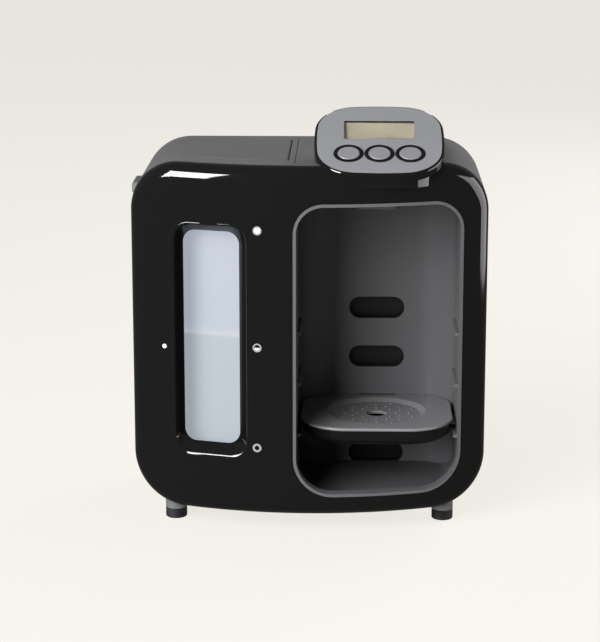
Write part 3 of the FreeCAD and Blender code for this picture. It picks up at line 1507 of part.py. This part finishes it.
    tail = "(spigot_floor - spigot_tail)"
    run_z = "(body_bottom + wall + hose_run_height)"
    hose("hose_tank_to_pump", [
        ("valve_x", VALVE_Y, tail), ("valve_x", VALVE_Y, run_z),
        ("valve_x", HOSE_RUN_Y, run_z), ("pump_x", HOSE_RUN_Y, PUMP_Z),
        ("pump_x", f"({PUMP_FRONT} - port_length)", PUMP_Z)], "tight_bend")
    hose("hose_pump_to_boiler", [
        ("pump_x", f"({PUMP_REAR} + port_length)", PUMP_Z), ("pump_x", BOILER_Y, PUMP_Z),
        ("boiler_x", BOILER_Y, PUMP_Z), ("boiler_x", BOILER_Y, f"(boiler_bottom - port_length)")],
        "middle_bend")
    hose("hose_boiler_to_valve", [
        ("boiler_x", BOILER_Y, f"({BOILER_TOP} + port_length)"), ("boiler_x", BOILER_Y, BLOCK_Z),
        ("bay_centre", BOILER_Y, BLOCK_Z), ("bay_centre", f"({BLOCK_REAR} + port_length)", BLOCK_Z)],
        "wide_bend")


def power_parts():
    board = block(
        "power_board_sheet", BOARD_LEFT, f"({BOARD_LEFT} + power_board_width)",
        BOARD_FACE, BOARD_REAR, "power_board_low",
        "power_board_low + power_board_height")
    face = f"({BOARD_FACE} + board_thickness / 4)"
    front = f"({face} - part_height)"
    transformer_left = f"({BOARD_LEFT} + part_margin)"
    transformer_low = "(power_board_low + part_margin)"
    transformer = block(
        "transformer", transformer_left, f"({transformer_left} + transformer_width)", front,
        face, transformer_low, f"({transformer_low} + transformer_length)")
    relay_right = f"({BOARD_LEFT} + power_board_width - part_margin)"
    relay_low = "(power_board_low + power_board_height / 2)"
    relay = block(
        "relay", f"({relay_right} - relay_width)", relay_right, front, face, relay_low,
        f"({relay_low} + relay_length)")
    capacitor_level = "(power_board_low + power_board_height - part_margin - capacitor_radius)"
    capacitors = [
        cylinder(f"capacitor_{number}", "y",
                 f"({transformer_left} + capacitor_radius + {number} * capacitor_pitch)",
                 capacitor_level, front, face, "capacitor_radius")
        for number in range(2)
    ]
    keep("power_board", joined("power_whole", board, transformer, relay, *capacitors))
    bush = ring(
        "bush_tube", "y", "bush_x", "bush_level", f"({REAR} - wall - 3)", REAR,
        "(bush_radius - 0.2)", "bush_bore")
    flange = ring(
        "bush_flange", "y", "bush_x", "bush_level", f"({REAR} - wall - 3)",
        f"({REAR} - wall)", "(bush_radius + 2.5)", "bush_radius - 1")
    keep("cord_bush", joined("bush_whole", bush, flange))


def check_and_write():
    doc.recompute()
    for item in doc.Objects:
        if "Invalid" in item.State or "Error" in item.State:
            raise RuntimeError(f"{item.Name} failed: {item.State}")
    for node, item in nodes.items():
        shape = item.Shape
        if shape.isNull() or not shape.isValid() or not shape.Solids:
            raise RuntimeError(f"{node} has no valid solid")
        print(node, len(shape.Solids), "solids", round(shape.Volume / 1000.0, 2), "cm3")
        shape.exportStep(f"parts/{node}.step")


front_fascia()
body_sleeve()
rear_cover()
hatch_cover()
feet()
screw_group("rear_cover_screws", POST_PLACES, "y", SCREW_SEAT, f"({SLEEVE_REAR} - 10)", 1)
screw_group("hatch_screws", HATCH_SCREWS, "z", "body_bottom", "body_bottom + wall + 2", -1)
bay_liner()
tank_body()
tank_collar()
tank_lid()
foot_valve()
cradle()
spigot()
platform_top()
drip_tray()
console_body()
console_fittings()
buttons()
water_path()
power_parts()
check_and_write()
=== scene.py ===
# %% [markdown]
# # A formula milk maker, dressed around its fixed frame
# The machine's pieces come from a packed engineering model, which is the fixed frame of this
# scene. This lesson gives each piece the finish that its real counterpart has, adds the printed
# marks and the window's frame, and lights it all like a catalogue picture. The added pieces are
# placed on the same bowed front that the model has, so they sit on what carries them.

# %% Load the frame
import json
import math

import bmesh
import bpy
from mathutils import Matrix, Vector


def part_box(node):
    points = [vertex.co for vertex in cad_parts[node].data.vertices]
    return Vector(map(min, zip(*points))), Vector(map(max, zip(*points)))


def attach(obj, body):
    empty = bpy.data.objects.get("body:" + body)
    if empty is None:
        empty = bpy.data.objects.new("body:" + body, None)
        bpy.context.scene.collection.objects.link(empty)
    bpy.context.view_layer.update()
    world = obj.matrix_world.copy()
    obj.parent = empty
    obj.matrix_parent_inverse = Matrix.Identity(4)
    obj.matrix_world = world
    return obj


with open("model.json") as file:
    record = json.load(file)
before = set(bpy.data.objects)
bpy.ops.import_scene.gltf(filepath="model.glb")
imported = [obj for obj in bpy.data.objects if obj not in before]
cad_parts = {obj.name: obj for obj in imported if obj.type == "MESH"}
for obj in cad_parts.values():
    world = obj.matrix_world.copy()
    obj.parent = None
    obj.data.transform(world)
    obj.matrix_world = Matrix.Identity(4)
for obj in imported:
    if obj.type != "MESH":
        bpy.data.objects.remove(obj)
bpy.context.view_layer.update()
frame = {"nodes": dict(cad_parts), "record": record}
nodes = frame["nodes"]
print("frame nodes:", len(nodes))

# %% [markdown]
# ## The camera
# The camera stands where the photographer's did: a little right of the machine's middle, 0.56 m
# up, looking 13 degrees down, with a long lens. The long side of the picture is 642 pixels, and
# Blender fits the sensor's 36 mm to it, so the lens follows from the focal length in pixels.

# %% Camera
MM = 0.001
PHOTO_LONG_SIDE = 642
SENSOR = 36.0
FOCAL_PIXELS = 2157.8
FAR_LIMIT = 60.0
CAMERA_PLACE = Vector((35.36, -1740.0, 561.03)) * MM
CAMERA_PITCH = math.radians(13.14)
CAMERA_YAW = math.radians(1.45)


def make_camera():
    data = bpy.data.cameras.new("studio_camera")
    data.sensor_width = SENSOR
    data.lens = FOCAL_PIXELS * SENSOR / PHOTO_LONG_SIDE
    data.clip_end = FAR_LIMIT
    camera = bpy.data.objects.new("studio_camera", data)
    camera.location = CAMERA_PLACE
    camera.rotation_euler = (math.pi / 2 - CAMERA_PITCH, 0.0, CAMERA_YAW)
    bpy.context.scene.collection.objects.link(camera)
    bpy.context.scene.camera = camera
    return camera


camera = make_camera()
print("lens in mm:", round(camera.data.lens, 1))

# %% [markdown]
# ## Colours and nodes
# A given colour is an sRGB value, but a shader works in linear light, so one function
# turns the hex form into linear numbers. A second small function adds a node, sets it up and
# links its inputs. The rest are the steps that most finishes share: a grain, a slow change
# between two numbers and a blend of two colours. A noise rarely leaves the middle of its range,
# so a slow change is stretched from there.

# %% Colour and node helpers
NOISE_REACH = (0.3, 0.7)


def linear(code):
    """The linear colour of an sRGB hex value such as 1a1a1b."""
    parts = [int(code[index:index + 2], 16) / 255 for index in (0, 2, 4)]
    bent = [part / 12.92 if part <= 0.04045 else ((part + 0.055) / 1.055) ** 2.4 for part in parts]
    return (*bent, 1.0)


def add(tree, kind, inputs=None, **settings):
    """Adds a node; an input is either a value or the socket that feeds it."""
    node = tree.nodes.new(kind)
    for name, setting in settings.items():
        setattr(node, name, setting)
    for name, source in (inputs or {}).items():
        if isinstance(source, bpy.types.NodeSocket):
            tree.links.new(source, node.inputs[name])
        else:
            node.inputs[name].default_value = source
    return node


def start_material(name, code, roughness, ior=1.5, metallic=0.0):
    """A material with its node tree, its shader and the place of every point in metres."""
    material = bpy.data.materials.new(name)
    material.use_nodes = True
    tree = material.node_tree
    shader = tree.nodes["Principled BSDF"]
    shader.inputs["Base Color"].default_value = linear(code)
    shader.inputs["Roughness"].default_value = roughness
    shader.inputs["IOR"].default_value = ior
    shader.inputs["Metallic"].default_value = metallic
    place = add(tree, "ShaderNodeTexCoord").outputs["Object"]
    return material, tree, shader, place


def per_metre(millimetres):
    """The texture scale that repeats once in a real length."""
    return 1.0 / (millimetres * MM)


def grain(tree, place, shader, size, depth, detail=2.0):
    """A fine moulded grain: bumps of a real size and depth, both in millimetres."""
    noise = add(tree, "ShaderNodeTexNoise",
                {"Vector": place, "Scale": per_metre(size), "Detail": detail})
    bump = add(tree, "ShaderNodeBump",
               {"Height": noise.outputs["Fac"], "Distance": depth * MM, "Strength": 1.0})
    tree.links.new(bump.outputs["Normal"], shader.inputs["Normal"])


def ramp(tree, source, start, stop, low=0.0, high=1.0):
    """A number that goes from low to high while its source goes from start to stop."""
    return add(tree, "ShaderNodeMapRange",
               {"Value": source, "From Min": start, "From Max": stop,
                "To Min": low, "To Max": high}).outputs["Result"]


def vary(tree, place, size, low, high):
    """A slow change between two numbers, over spots of a real size in millimetres."""
    noise = add(tree, "ShaderNodeTexNoise",
                {"Vector": place, "Scale": per_metre(size), "Detail": 3.0})
    return ramp(tree, noise.outputs["Fac"], *NOISE_REACH, low, high)


def blend(tree, share, first, second):
    """The first colour where the share is 0 and the second where it is 1."""
    mix = add(tree, "ShaderNodeMix", {"Factor": share, "A": first, "B": second},
              data_type="RGBA")
    return mix.outputs["Result"]


print("helpers ready")

# %% [markdown]
# ## Polished ABS
# The bowed front, the console's shell and the drip tray are ABS moulded in a polished tool. The
# eye reads it as piano black: nearly no colour of its own and sharp, bright reflections, with
# the faint orange peel that a moulded skin has.


# %% Polished ABS
def polished_abs():
    material, tree, shader, place = start_material("polished_abs", "080808", roughness=0.06)
    grain(tree, place, shader, size=9.0, depth=0.004)
    handled = vary(tree, place, size=60.0, low=0.05, high=0.09)
    tree.links.new(handled, shader.inputs["Roughness"])
    return material


POLISHED_ABS = polished_abs()
print(POLISHED_ABS.name)

# %% [markdown]
# ## Satin shell ABS
# The sleeve, the lid and the rear cover are the same plastic from a tool with a fine spark
# texture. It scatters the light, so the top reads as a mid grey. The grain is 0.5 mm, a little
# coarser than the real one so that it shows in the picture. The IOR of ABS is 1.54.


# %% Satin shell ABS
def satin_shell():
    material, tree, shader, place = start_material(
        "satin_shell_abs", "4b4b4d", roughness=0.42, ior=1.54)
    grain(tree, place, shader, size=0.5, depth=0.012)
    handled = vary(tree, place, size=35.0, low=0.38, high=0.47)
    tree.links.new(handled, shader.inputs["Roughness"])
    return material


SATIN_SHELL = satin_shell()
print(SATIN_SHELL.name)

# %% [markdown]
# ## Charcoal liner
# The bay is one deep moulding in charcoal polypropylene with a soft sheen. The sheen draws the
# upright light in its round back corner, so its roughness matters as much as its colour. The
# height slots are cups that stand out 14 mm behind the back wall. Their insides carry painted
# shade: the colour fades to near black just behind the wall, where little light reaches.

# %% Charcoal liner
SLOT_DEPTH = 14.0
LINER_WALL = 2.4
BAY_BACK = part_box("bay_liner")[1].y - (SLOT_DEPTH + LINER_WALL) * MM
SLOT_SHADE_FADE = 3.0 * MM


def charcoal_liner():
    material, tree, shader, place = start_material(
        "charcoal_polypropylene", "414143", roughness=0.36)
    depth = add(tree, "ShaderNodeSeparateXYZ", {"Vector": place}).outputs["Y"]
    # Painted shade: the liner darkens to near black just behind the back wall, inside the slot
    # cups.
    slot_shade = ramp(tree, depth, BAY_BACK, BAY_BACK + SLOT_SHADE_FADE)
    tint = blend(tree, slot_shade, linear("414143"), linear("151516"))
    tree.links.new(tint, shader.inputs["Base Color"])
    grain(tree, place, shader, size=0.45, depth=0.006)
    handled = vary(tree, place, size=50.0, low=0.33, high=0.41)
    tree.links.new(handled, shader.inputs["Roughness"])
    return material


CHARCOAL_LINER = charcoal_liner()
print(CHARCOAL_LINER.name)

# %% [markdown]
# ## Frosted tank
# The tank is natural polypropylene, milky and a little blue. Light enters its walls from all
# sides and leaves them softly, so the tank looks evenly lit even behind its narrow window. A
# path through such a wall is slow to render, so a painted glow of its own stands for that light.
# The water shows only as a slightly deeper tone of that glow under a pale line, a little above the
# half mark.

# %% Frosted tank
WATER_LEVEL = 155.5 * MM
MENISCUS = 2.2 * MM
PALE_LINE = 3 * MENISCUS
MILKY = {"dry": "c3cbd8", "wet": "bac3cd", "edge": "d2d9e1"}
TANK_PAINTED_GLOW = 0.62
MILKY_CLEARNESS = 0.15


def frosted_tank():
    material, tree, shader, place = start_material(
        "frosted_polypropylene", "4a4d51", roughness=0.35, ior=1.49)
    shader.inputs["Transmission Weight"].default_value = MILKY_CLEARNESS
    # Painted light: the tank glows with its own light, in place of the light that passes through
    # its walls.
    shader.inputs["Emission Strength"].default_value = TANK_PAINTED_GLOW
    height = add(tree, "ShaderNodeSeparateXYZ", {"Vector": place}).outputs["Z"]
    wet = ramp(tree, height, WATER_LEVEL - MENISCUS, WATER_LEVEL, low=1.0, high=0.0)
    edge = ramp(tree, height, WATER_LEVEL, WATER_LEVEL + PALE_LINE, low=1.0, high=0.0)
    dry = blend(tree, edge, linear(MILKY["dry"]), linear(MILKY["edge"]))
    tone = blend(tree, wet, dry, linear(MILKY["wet"]))
    tree.links.new(tone, shader.inputs["Emission Color"])
    grain(tree, place, shader, size=1.2, depth=0.01)
    return material


FROSTED_TANK = frosted_tank()
print(FROSTED_TANK.name)

# %% [markdown]
# ## Brushed faceplate
# The console's face is a thin foil plate with straight brush marks from left to right. Brush
# marks are scratches that are long one way and fine the other, so the noise is stretched along
# X. Real marks are 0.1 mm apart; they are drawn at 0.5 mm, because finer ones would vanish.
# The plate's cut edges are black, and they are told apart by their normal.

# %% Brushed faceplate
CONSOLE_TILT = math.radians(25.5)
FACE_NORMAL = Vector((0.0, -math.sin(CONSOLE_TILT), math.cos(CONSOLE_TILT)))
FACING_LIMIT = 0.98
BRUSH_SPACE = 0.5
BRUSH_STRETCH = (0.02, 1.0, 1.0)
BRUSH_DEPTH = 0.01
BRUSH_STRENGTH = 0.6


def brushed_plate():
    material, tree, shader, place = start_material(
        "brushed_foil", "66676a", roughness=0.42, metallic=0.2)
    stretched = add(tree, "ShaderNodeMapping", {"Vector": place, "Scale": BRUSH_STRETCH})
    marks = add(tree, "ShaderNodeTexNoise",
                {"Vector": stretched.outputs["Vector"], "Scale": per_metre(BRUSH_SPACE),
                 "Detail": 4.0}).outputs["Fac"]
    normal = add(tree, "ShaderNodeTexCoord").outputs["Normal"]
    facing = add(tree, "ShaderNodeVectorMath", {0: normal, 1: FACE_NORMAL},
                 operation="DOT_PRODUCT").outputs["Value"]
    on_face = add(tree, "ShaderNodeMath", {0: facing, 1: FACING_LIMIT},
                  operation="GREATER_THAN").outputs["Value"]
    tint = blend(tree, marks, linear("606164"), linear("727376"))
    coat = blend(tree, on_face, linear("0c0c0d"), tint)
    tree.links.new(coat, shader.inputs["Base Color"])
    bump = add(tree, "ShaderNodeBump",
               {"Height": marks, "Distance": BRUSH_DEPTH * MM, "Strength": BRUSH_STRENGTH})
    tree.links.new(bump.outputs["Normal"], shader.inputs["Normal"])
    return material


BRUSHED_PLATE = brushed_plate()
print(BRUSHED_PLATE.name)

# %% [markdown]
# ## Keys and display
# The keys are satin silver caps in gloss black rings. The display is a bare khaki panel under
# a clear window; it is switched off, so it shows no figures.


# %% Keys and display
def satin_silver():
    material, tree, shader, place = start_material(
        "satin_silver_paint", "67686b", roughness=0.34, metallic=0.2)
    grain(tree, place, shader, size=0.4, depth=0.003)
    return material


def display_panel():
    material, tree, shader, place = start_material("display_panel", "8c8677", roughness=0.45)
    slow = vary(tree, place, size=30.0, low=0.0, high=1.0)
    tint = blend(tree, slow, linear("878070"), linear("928b7b"))
    tree.links.new(tint, shader.inputs["Base Color"])
    return material


def clear_window():
    material, tree, shader, place = start_material(
        "clear_acrylic", "ffffff", roughness=0.03, ior=1.49)
    shader.inputs["Transmission Weight"].default_value = 1.0
    handled = vary(tree, place, size=20.0, low=0.02, high=0.05)
    tree.links.new(handled, shader.inputs["Roughness"])
    return material


SATIN_SILVER = satin_silver()
DISPLAY_PANEL = display_panel()
CLEAR_WINDOW = clear_window()
print(SATIN_SILVER.name, DISPLAY_PANEL.name, CLEAR_WINDOW.name)

# %% [markdown]
# ## Platform, rubber and inner parts
# The platform's plate is matt ABS with a fine leather-like grain. Feet, seals and the cord bush
# are moulded rubber. Inside there are plain mouldings, a steel boiler, clear silicone hoses,
# a white filter and green circuit boards. They show only when a cover comes off.

# %% Platform, rubber and inner parts
TRACK_SPACE = 6.0


def grained(name, code, roughness, size, depth, ior=1.5, detail=2.0):
    """A plain moulded finish: one colour and one grain."""
    material, tree, shader, place = start_material(name, code, roughness, ior=ior)
    grain(tree, place, shader, size, depth, detail=detail)
    return material


def drawn_steel():
    material, tree, shader, place = start_material(
        "drawn_steel", "b9bbbd", roughness=0.28, metallic=1.0)
    handled = vary(tree, place, size=6.0, low=0.22, high=0.36)
    tree.links.new(handled, shader.inputs["Roughness"])
    return material


def silicone_hose():
    material, tree, shader, place = start_material(
        "clear_silicone", "d9d8d2", roughness=0.35, ior=1.41)
    shader.inputs["Transmission Weight"].default_value = 0.5
    grain(tree, place, shader, size=2.0, depth=0.02)
    return material


def circuit_board():
    material, tree, shader, place = start_material("solder_mask", "14452a", roughness=0.35)
    tracks = add(tree, "ShaderNodeTexBrick",
                 {"Vector": place, "Scale": per_metre(TRACK_SPACE), "Color1": linear("14452a"),
                  "Color2": linear("1b5533"), "Mortar": linear("2f7048"), "Mortar Size": 0.03})
    tree.links.new(tracks.outputs["Color"], shader.inputs["Base Color"])
    return material


INNER_MOULDING = grained("unpainted_abs", "3c3d40", 0.5, size=0.7, depth=0.01)
FINISHES = {
    "gloss_black": POLISHED_ABS,
    "shell_grey": SATIN_SHELL,
    "liner_charcoal": CHARCOAL_LINER,
    "platform_black": grained("grained_abs", "58585a", 0.4, size=0.6, depth=0.01, ior=1.54),
    "tray_black": POLISHED_ABS,
    "tank_frosted": FROSTED_TANK,
    "inner_plastic": INNER_MOULDING,
    "faceplate_grey": BRUSHED_PLATE,
    "button_grey": SATIN_SILVER,
    "bezel_black": POLISHED_ABS,
    "screen_clear": CLEAR_WINDOW,
    "screen_beige": DISPLAY_PANEL,
    "board_green": circuit_board(),
    "rubber_black": grained("moulded_rubber", "0e0e0f", 0.62, size=0.8, depth=0.02, ior=1.52),
    "hose_silicone": silicone_hose(),
    "filter_white": grained("filter_felt", "e6e6e2", 0.7, size=0.7, depth=0.15, detail=5.0),
    "steel": drawn_steel(),
    "pump_grey": INNER_MOULDING,
}
print("finishes:", len(FINISHES))

# %% [markdown]
# ## Dress the frame
# The record says which slot each node takes its finish from, so the frame is dressed in one
# loop.


# %% Dress the frame
def dress_frame():
    for part in frame["record"]["subparts"]:
        node = nodes[part["node"]]
        node.data.materials.clear()
        node.data.materials.append(FINISHES[part["material_slot"]])


dress_frame()
print("dressed:", len(nodes))

# %% [markdown]
# ## The bowed front
# Everything added to the front follows its bow, which is a part of a large upright cylinder.
# One function gives the bow's fall at a distance from its middle. Another skins a piece over
# rings of points, so a printed film and a moulded frame are made in the same way.

# %% The bowed front
FRONT_Y = -90.0
BOW_RADIUS = 290.0


def bow_drop(across):
    """How far the bow falls back, in millimetres, at a distance from its middle."""
    return BOW_RADIUS - math.sqrt(BOW_RADIUS ** 2 - across ** 2)


def skin(name, rings, material, closed):
    """A piece over rings of points; it closes on itself or has a cap at each end."""
    mesh = bmesh.new()
    rows = [[mesh.verts.new(point) for point in ring] for ring in rings]
    pairs = list(zip(rows, rows[1:]))
    if closed:
        pairs.append((rows[-1], rows[0]))
    for first, second in pairs:
        for index in range(len(first)):
            following = (index + 1) % len(first)
            mesh.faces.new((first[index], first[following], second[following], second[index]))
    if not closed:
        mesh.faces.new(rows[0][::-1])
        mesh.faces.new(rows[-1])
    bmesh.ops.recalc_face_normals(mesh, faces=mesh.faces)
    data = bpy.data.meshes.new(name)
    mesh.to_mesh(data)
    mesh.free()
    data.materials.append(material)
    piece = bpy.data.objects.new(name, data)
    bpy.context.scene.collection.objects.link(piece)
    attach(piece, "housing")
    return piece


# %% [markdown]
# ## Printed level marks
# The front carries three small white marks beside the window, for full, half full and empty,
# and one dot on the other side. They are printed, so each is a film that stands no prouder than
# paper and follows the bowed face. A film is a ring sector: at each step round it there is a
# point at its inner and outer radius, once on the face and once just under it.

# %% Printed level marks
INK_PROUD = 0.06
INK_SUNK = 0.05
RING_STEPS = 48
WHITE_INK = grained("white_screen_ink", "a8a8a8", 0.35, size=0.3, depth=0.004)
GREY_INK = grained("grey_screen_ink", "6b6b6b", 0.35, size=0.3, depth=0.004)
FULL_PLACE = (-40.0, 247.0)
HALF_PLACE = (-40.4, 153.0)
EMPTY_PLACE = (-40.8, 70.8)
DOT_PLACE = (-115.5, 149.0)
CENTRE_HOLE = 0.05
WHOLE_TURN = (0.0, 360.0)
LOWER_HALF = (180.0, 360.0)
# Each row is a name, an ink, a place, an inner and an outer radius and the angles it spans.
MARKS = (
    ("mark_full_disc", WHITE_INK, FULL_PLACE, CENTRE_HOLE, 2.3, WHOLE_TURN),
    ("mark_full_ring", GREY_INK, FULL_PLACE, 2.5, 3.5, WHOLE_TURN),
    ("mark_half_ring", GREY_INK, HALF_PLACE, 2.4, 3.5, WHOLE_TURN),
    ("mark_half_disc", WHITE_INK, HALF_PLACE, CENTRE_HOLE, 2.1, LOWER_HALF),
    ("mark_empty_ring", GREY_INK, EMPTY_PLACE, 1.9, 3.5, WHOLE_TURN),
    ("level_dot", WHITE_INK, DOT_PLACE, CENTRE_HOLE, 1.75, WHOLE_TURN),
)


def print_mark(name, ink, centre, inner, outer, span):
    start, stop = span
    whole = span == WHOLE_TURN
    section = ((outer, -INK_PROUD), (outer, INK_SUNK), (inner, INK_SUNK), (inner, -INK_PROUD))
    rings = []
    for step in range(RING_STEPS if whole else RING_STEPS + 1):
        angle = math.radians(start + (stop - start) * step / RING_STEPS)
        ring = []
        for radius, lift in section:
            across = centre[0] + radius * math.cos(angle)
            up = centre[1] + radius * math.sin(angle)
            ring.append(Vector((across, FRONT_Y + bow_drop(across) + lift, up)) * MM)
        rings.append(ring)
    return skin(name, rings, ink, closed=whole)


for mark in MARKS:
    print_mark(*mark)
print("printed films:", len(MARKS))

# %% [markdown]
# ## Window frame
# The tank shows through a tall window with round corners. The model has a plain opening there,
# so the polished frame is made here: a thin lip on the front, then a wall that runs back
# towards the tank and narrows, like a shallow funnel. It is skinned over rounded outlines that
# stand square to the bowed front at the window's middle. Its opening is a little off centre, so
# each side has an inset of its own. The front skin goes back, and a rear skin comes forward
# again, so the frame has a real wall.

# %% Window frame
WINDOW_CENTRE = -78.2
WINDOW_TURN = math.asin(WINDOW_CENTRE / BOW_RADIUS)
WINDOW_HALF = 31.1
WINDOW_LOW = 62.0
WINDOW_HIGH = 250.8
WINDOW_CORNER = 14.0
CORNER_STEPS = 10
SHARP_EDGE = math.radians(50)
# Each row is a depth behind the front and the insets at the left, right, bottom and top.
FRAME_ROWS = (
    (0.1, (-2.0, -0.7, -4.2, -0.8)),
    (-0.4, (-1.5, -0.3, -3.7, -0.4)),
    (-0.4, (0.2, 0.4, -0.2, 0.2)),
    (0.6, (1.2, 1.4, 1.3, 1.2)),
    (10.0, (5.4, 9.9, 8.6, 7.2)),
    (10.0, (4.4, 8.9, 7.6, 6.2)),
    (3.0, (2.0, 2.6, 2.4, 2.2)),
    (0.1, (0.3, 0.5, 0.4, 0.3)),
)


def window_point(across, up, depth):
    """A point given square to the bow at the window's middle, as a place in the frame."""
    reach = BOW_RADIUS - depth - bow_drop(across)
    x = reach * math.sin(WINDOW_TURN) + across * math.cos(WINDOW_TURN)
    y = FRONT_Y + BOW_RADIUS - reach * math.cos(WINDOW_TURN) + across * math.sin(WINDOW_TURN)
    return Vector((x, y, up)) * MM


def rounded_outline(depth, insets):
    """The window's outline at a depth; its corners tighten by half of the mean inset."""
    left, right, low, high = insets
    radius = WINDOW_CORNER - sum(insets) / len(insets) / 2
    first, last = -WINDOW_HALF + left + radius, WINDOW_HALF - right - radius
    bottom, top = WINDOW_LOW + low + radius, WINDOW_HIGH - high - radius
    corners = ((last, top, 0), (first, top, 90), (first, bottom, 180), (last, bottom, 270))
    points = []
    for across, up, start in corners:
        for step in range(CORNER_STEPS + 1):
            angle = math.radians(start + 90 * step / CORNER_STEPS)
            points.append(window_point(across + radius * math.cos(angle),
                                       up + radius * math.sin(angle), depth))
    return points


def window_frame():
    rings = [rounded_outline(depth, insets) for depth, insets in FRAME_ROWS]
    piece = skin("window_frame", rings, POLISHED_ABS, closed=True)
    piece.data.shade_smooth()
    piece.data.set_sharp_from_angle(angle=SHARP_EDGE)
    return piece


frame_piece = window_frame()
print(frame_piece.name, len(frame_piece.data.vertices), "points")

# %% [markdown]
# ## Studio
# The floor is plain and pale, and so large that it fills the picture. It gives off part of its
# own light, like a lit table, which keeps the background even. A polished black front mirrors
# whatever stands before it, so the floor is kept out of the reflections, as dark cards do in a
# real studio.
#
# The light on a surface and the light seen in its gloss are set apart, as a photographer does
# with flags and cards. Each box says what it works on: surfaces, gloss or both. The key, high
# on the left, and the front box light the surfaces and reach into the bay. The corner shine
# draws the light on the front's rolled corner. The rear boxes light the top and its far corner,
# and the right box marks the right edge.

# %% Studio
FLOOR_HALF = 14.0
FLOOR_GLOW = 0.86
WORLD_GLOW = 0.14
WARM_WHITE = "f5f2eb"
MIDDLE = Vector((0.0, 0.0, 0.16))
KEY_PLACE = (-1.1, -1.2, 1.5)
FRONT_PLACE = (-0.95, -1.65, 0.72)
CORNER_PLACE = (-1.35, -1.25, 1.05)
REAR_PLACE = (1.3, 1.5, 0.95)
RIGHT_PLACE = (1.4, 0.0, 0.4)
# Each row is a name, a place, a width, a height, a brightness and what the box works on.
SOFT_BOXES = (
    ("key_box", KEY_PLACE, 1.5, 1.0, 12.0, "surfaces"),
    ("front_box", FRONT_PLACE, 1.2, 1.1, 26.0, "surfaces"),
    ("front_shine", FRONT_PLACE, 1.2, 1.1, 1.4, "gloss"),
    ("corner_shine", CORNER_PLACE, 0.8, 1.2, 30.0, "gloss"),
    ("rear_box", REAR_PLACE, 1.2, 1.0, 15.0, "surfaces"),
    ("rear_shine", REAR_PLACE, 1.2, 1.0, 7.0, "gloss"),
    ("right_box", RIGHT_PLACE, 1.3, 1.0, 3.5, "both"),
)


def make_floor():
    mesh = bmesh.new()
    bmesh.ops.create_grid(mesh, x_segments=2, y_segments=2, size=FLOOR_HALF)
    data = bpy.data.meshes.new("studio_floor")
    mesh.to_mesh(data)
    mesh.free()
    floor = bpy.data.objects.new("studio_floor", data)
    bpy.context.scene.collection.objects.link(floor)
    material, _, shader, _ = start_material("pale_floor", "3b3b39", roughness=0.95)
    shader.inputs["Emission Color"].default_value = linear(WARM_WHITE)
    shader.inputs["Emission Strength"].default_value = FLOOR_GLOW
    data.materials.append(material)
    floor.visible_glossy = False


def make_soft_box(name, place, width, height, brightness, works_on):
    """A box aimed at the middle; its brightness is in watts per square metre and steradian."""
    data = bpy.data.lights.new(name, "AREA")
    data.shape = "RECTANGLE"
    data.size = width
    data.size_y = height
    data.energy = brightness * math.pi * width * height
    light = bpy.data.objects.new(name, data)
    light.location = place
    light.rotation_euler = (MIDDLE - Vector(place)).to_track_quat("-Z", "Y").to_euler()
    light.visible_diffuse = works_on != "gloss"
    light.visible_glossy = works_on != "surfaces"
    bpy.context.scene.collection.objects.link(light)


def make_world():
    world = bpy.data.worlds.new("studio_world")
    world.use_nodes = True
    background = world.node_tree.nodes["Background"]
    background.inputs["Color"].default_value = linear(WARM_WHITE)
    background.inputs["Strength"].default_value = WORLD_GLOW
    bpy.context.scene.world = world


make_floor()
make_world()
for box in SOFT_BOXES:
    make_soft_box(*box)
bpy.context.scene.view_settings.view_transform = "Standard"
print("soft boxes:", len(SOFT_BOXES))
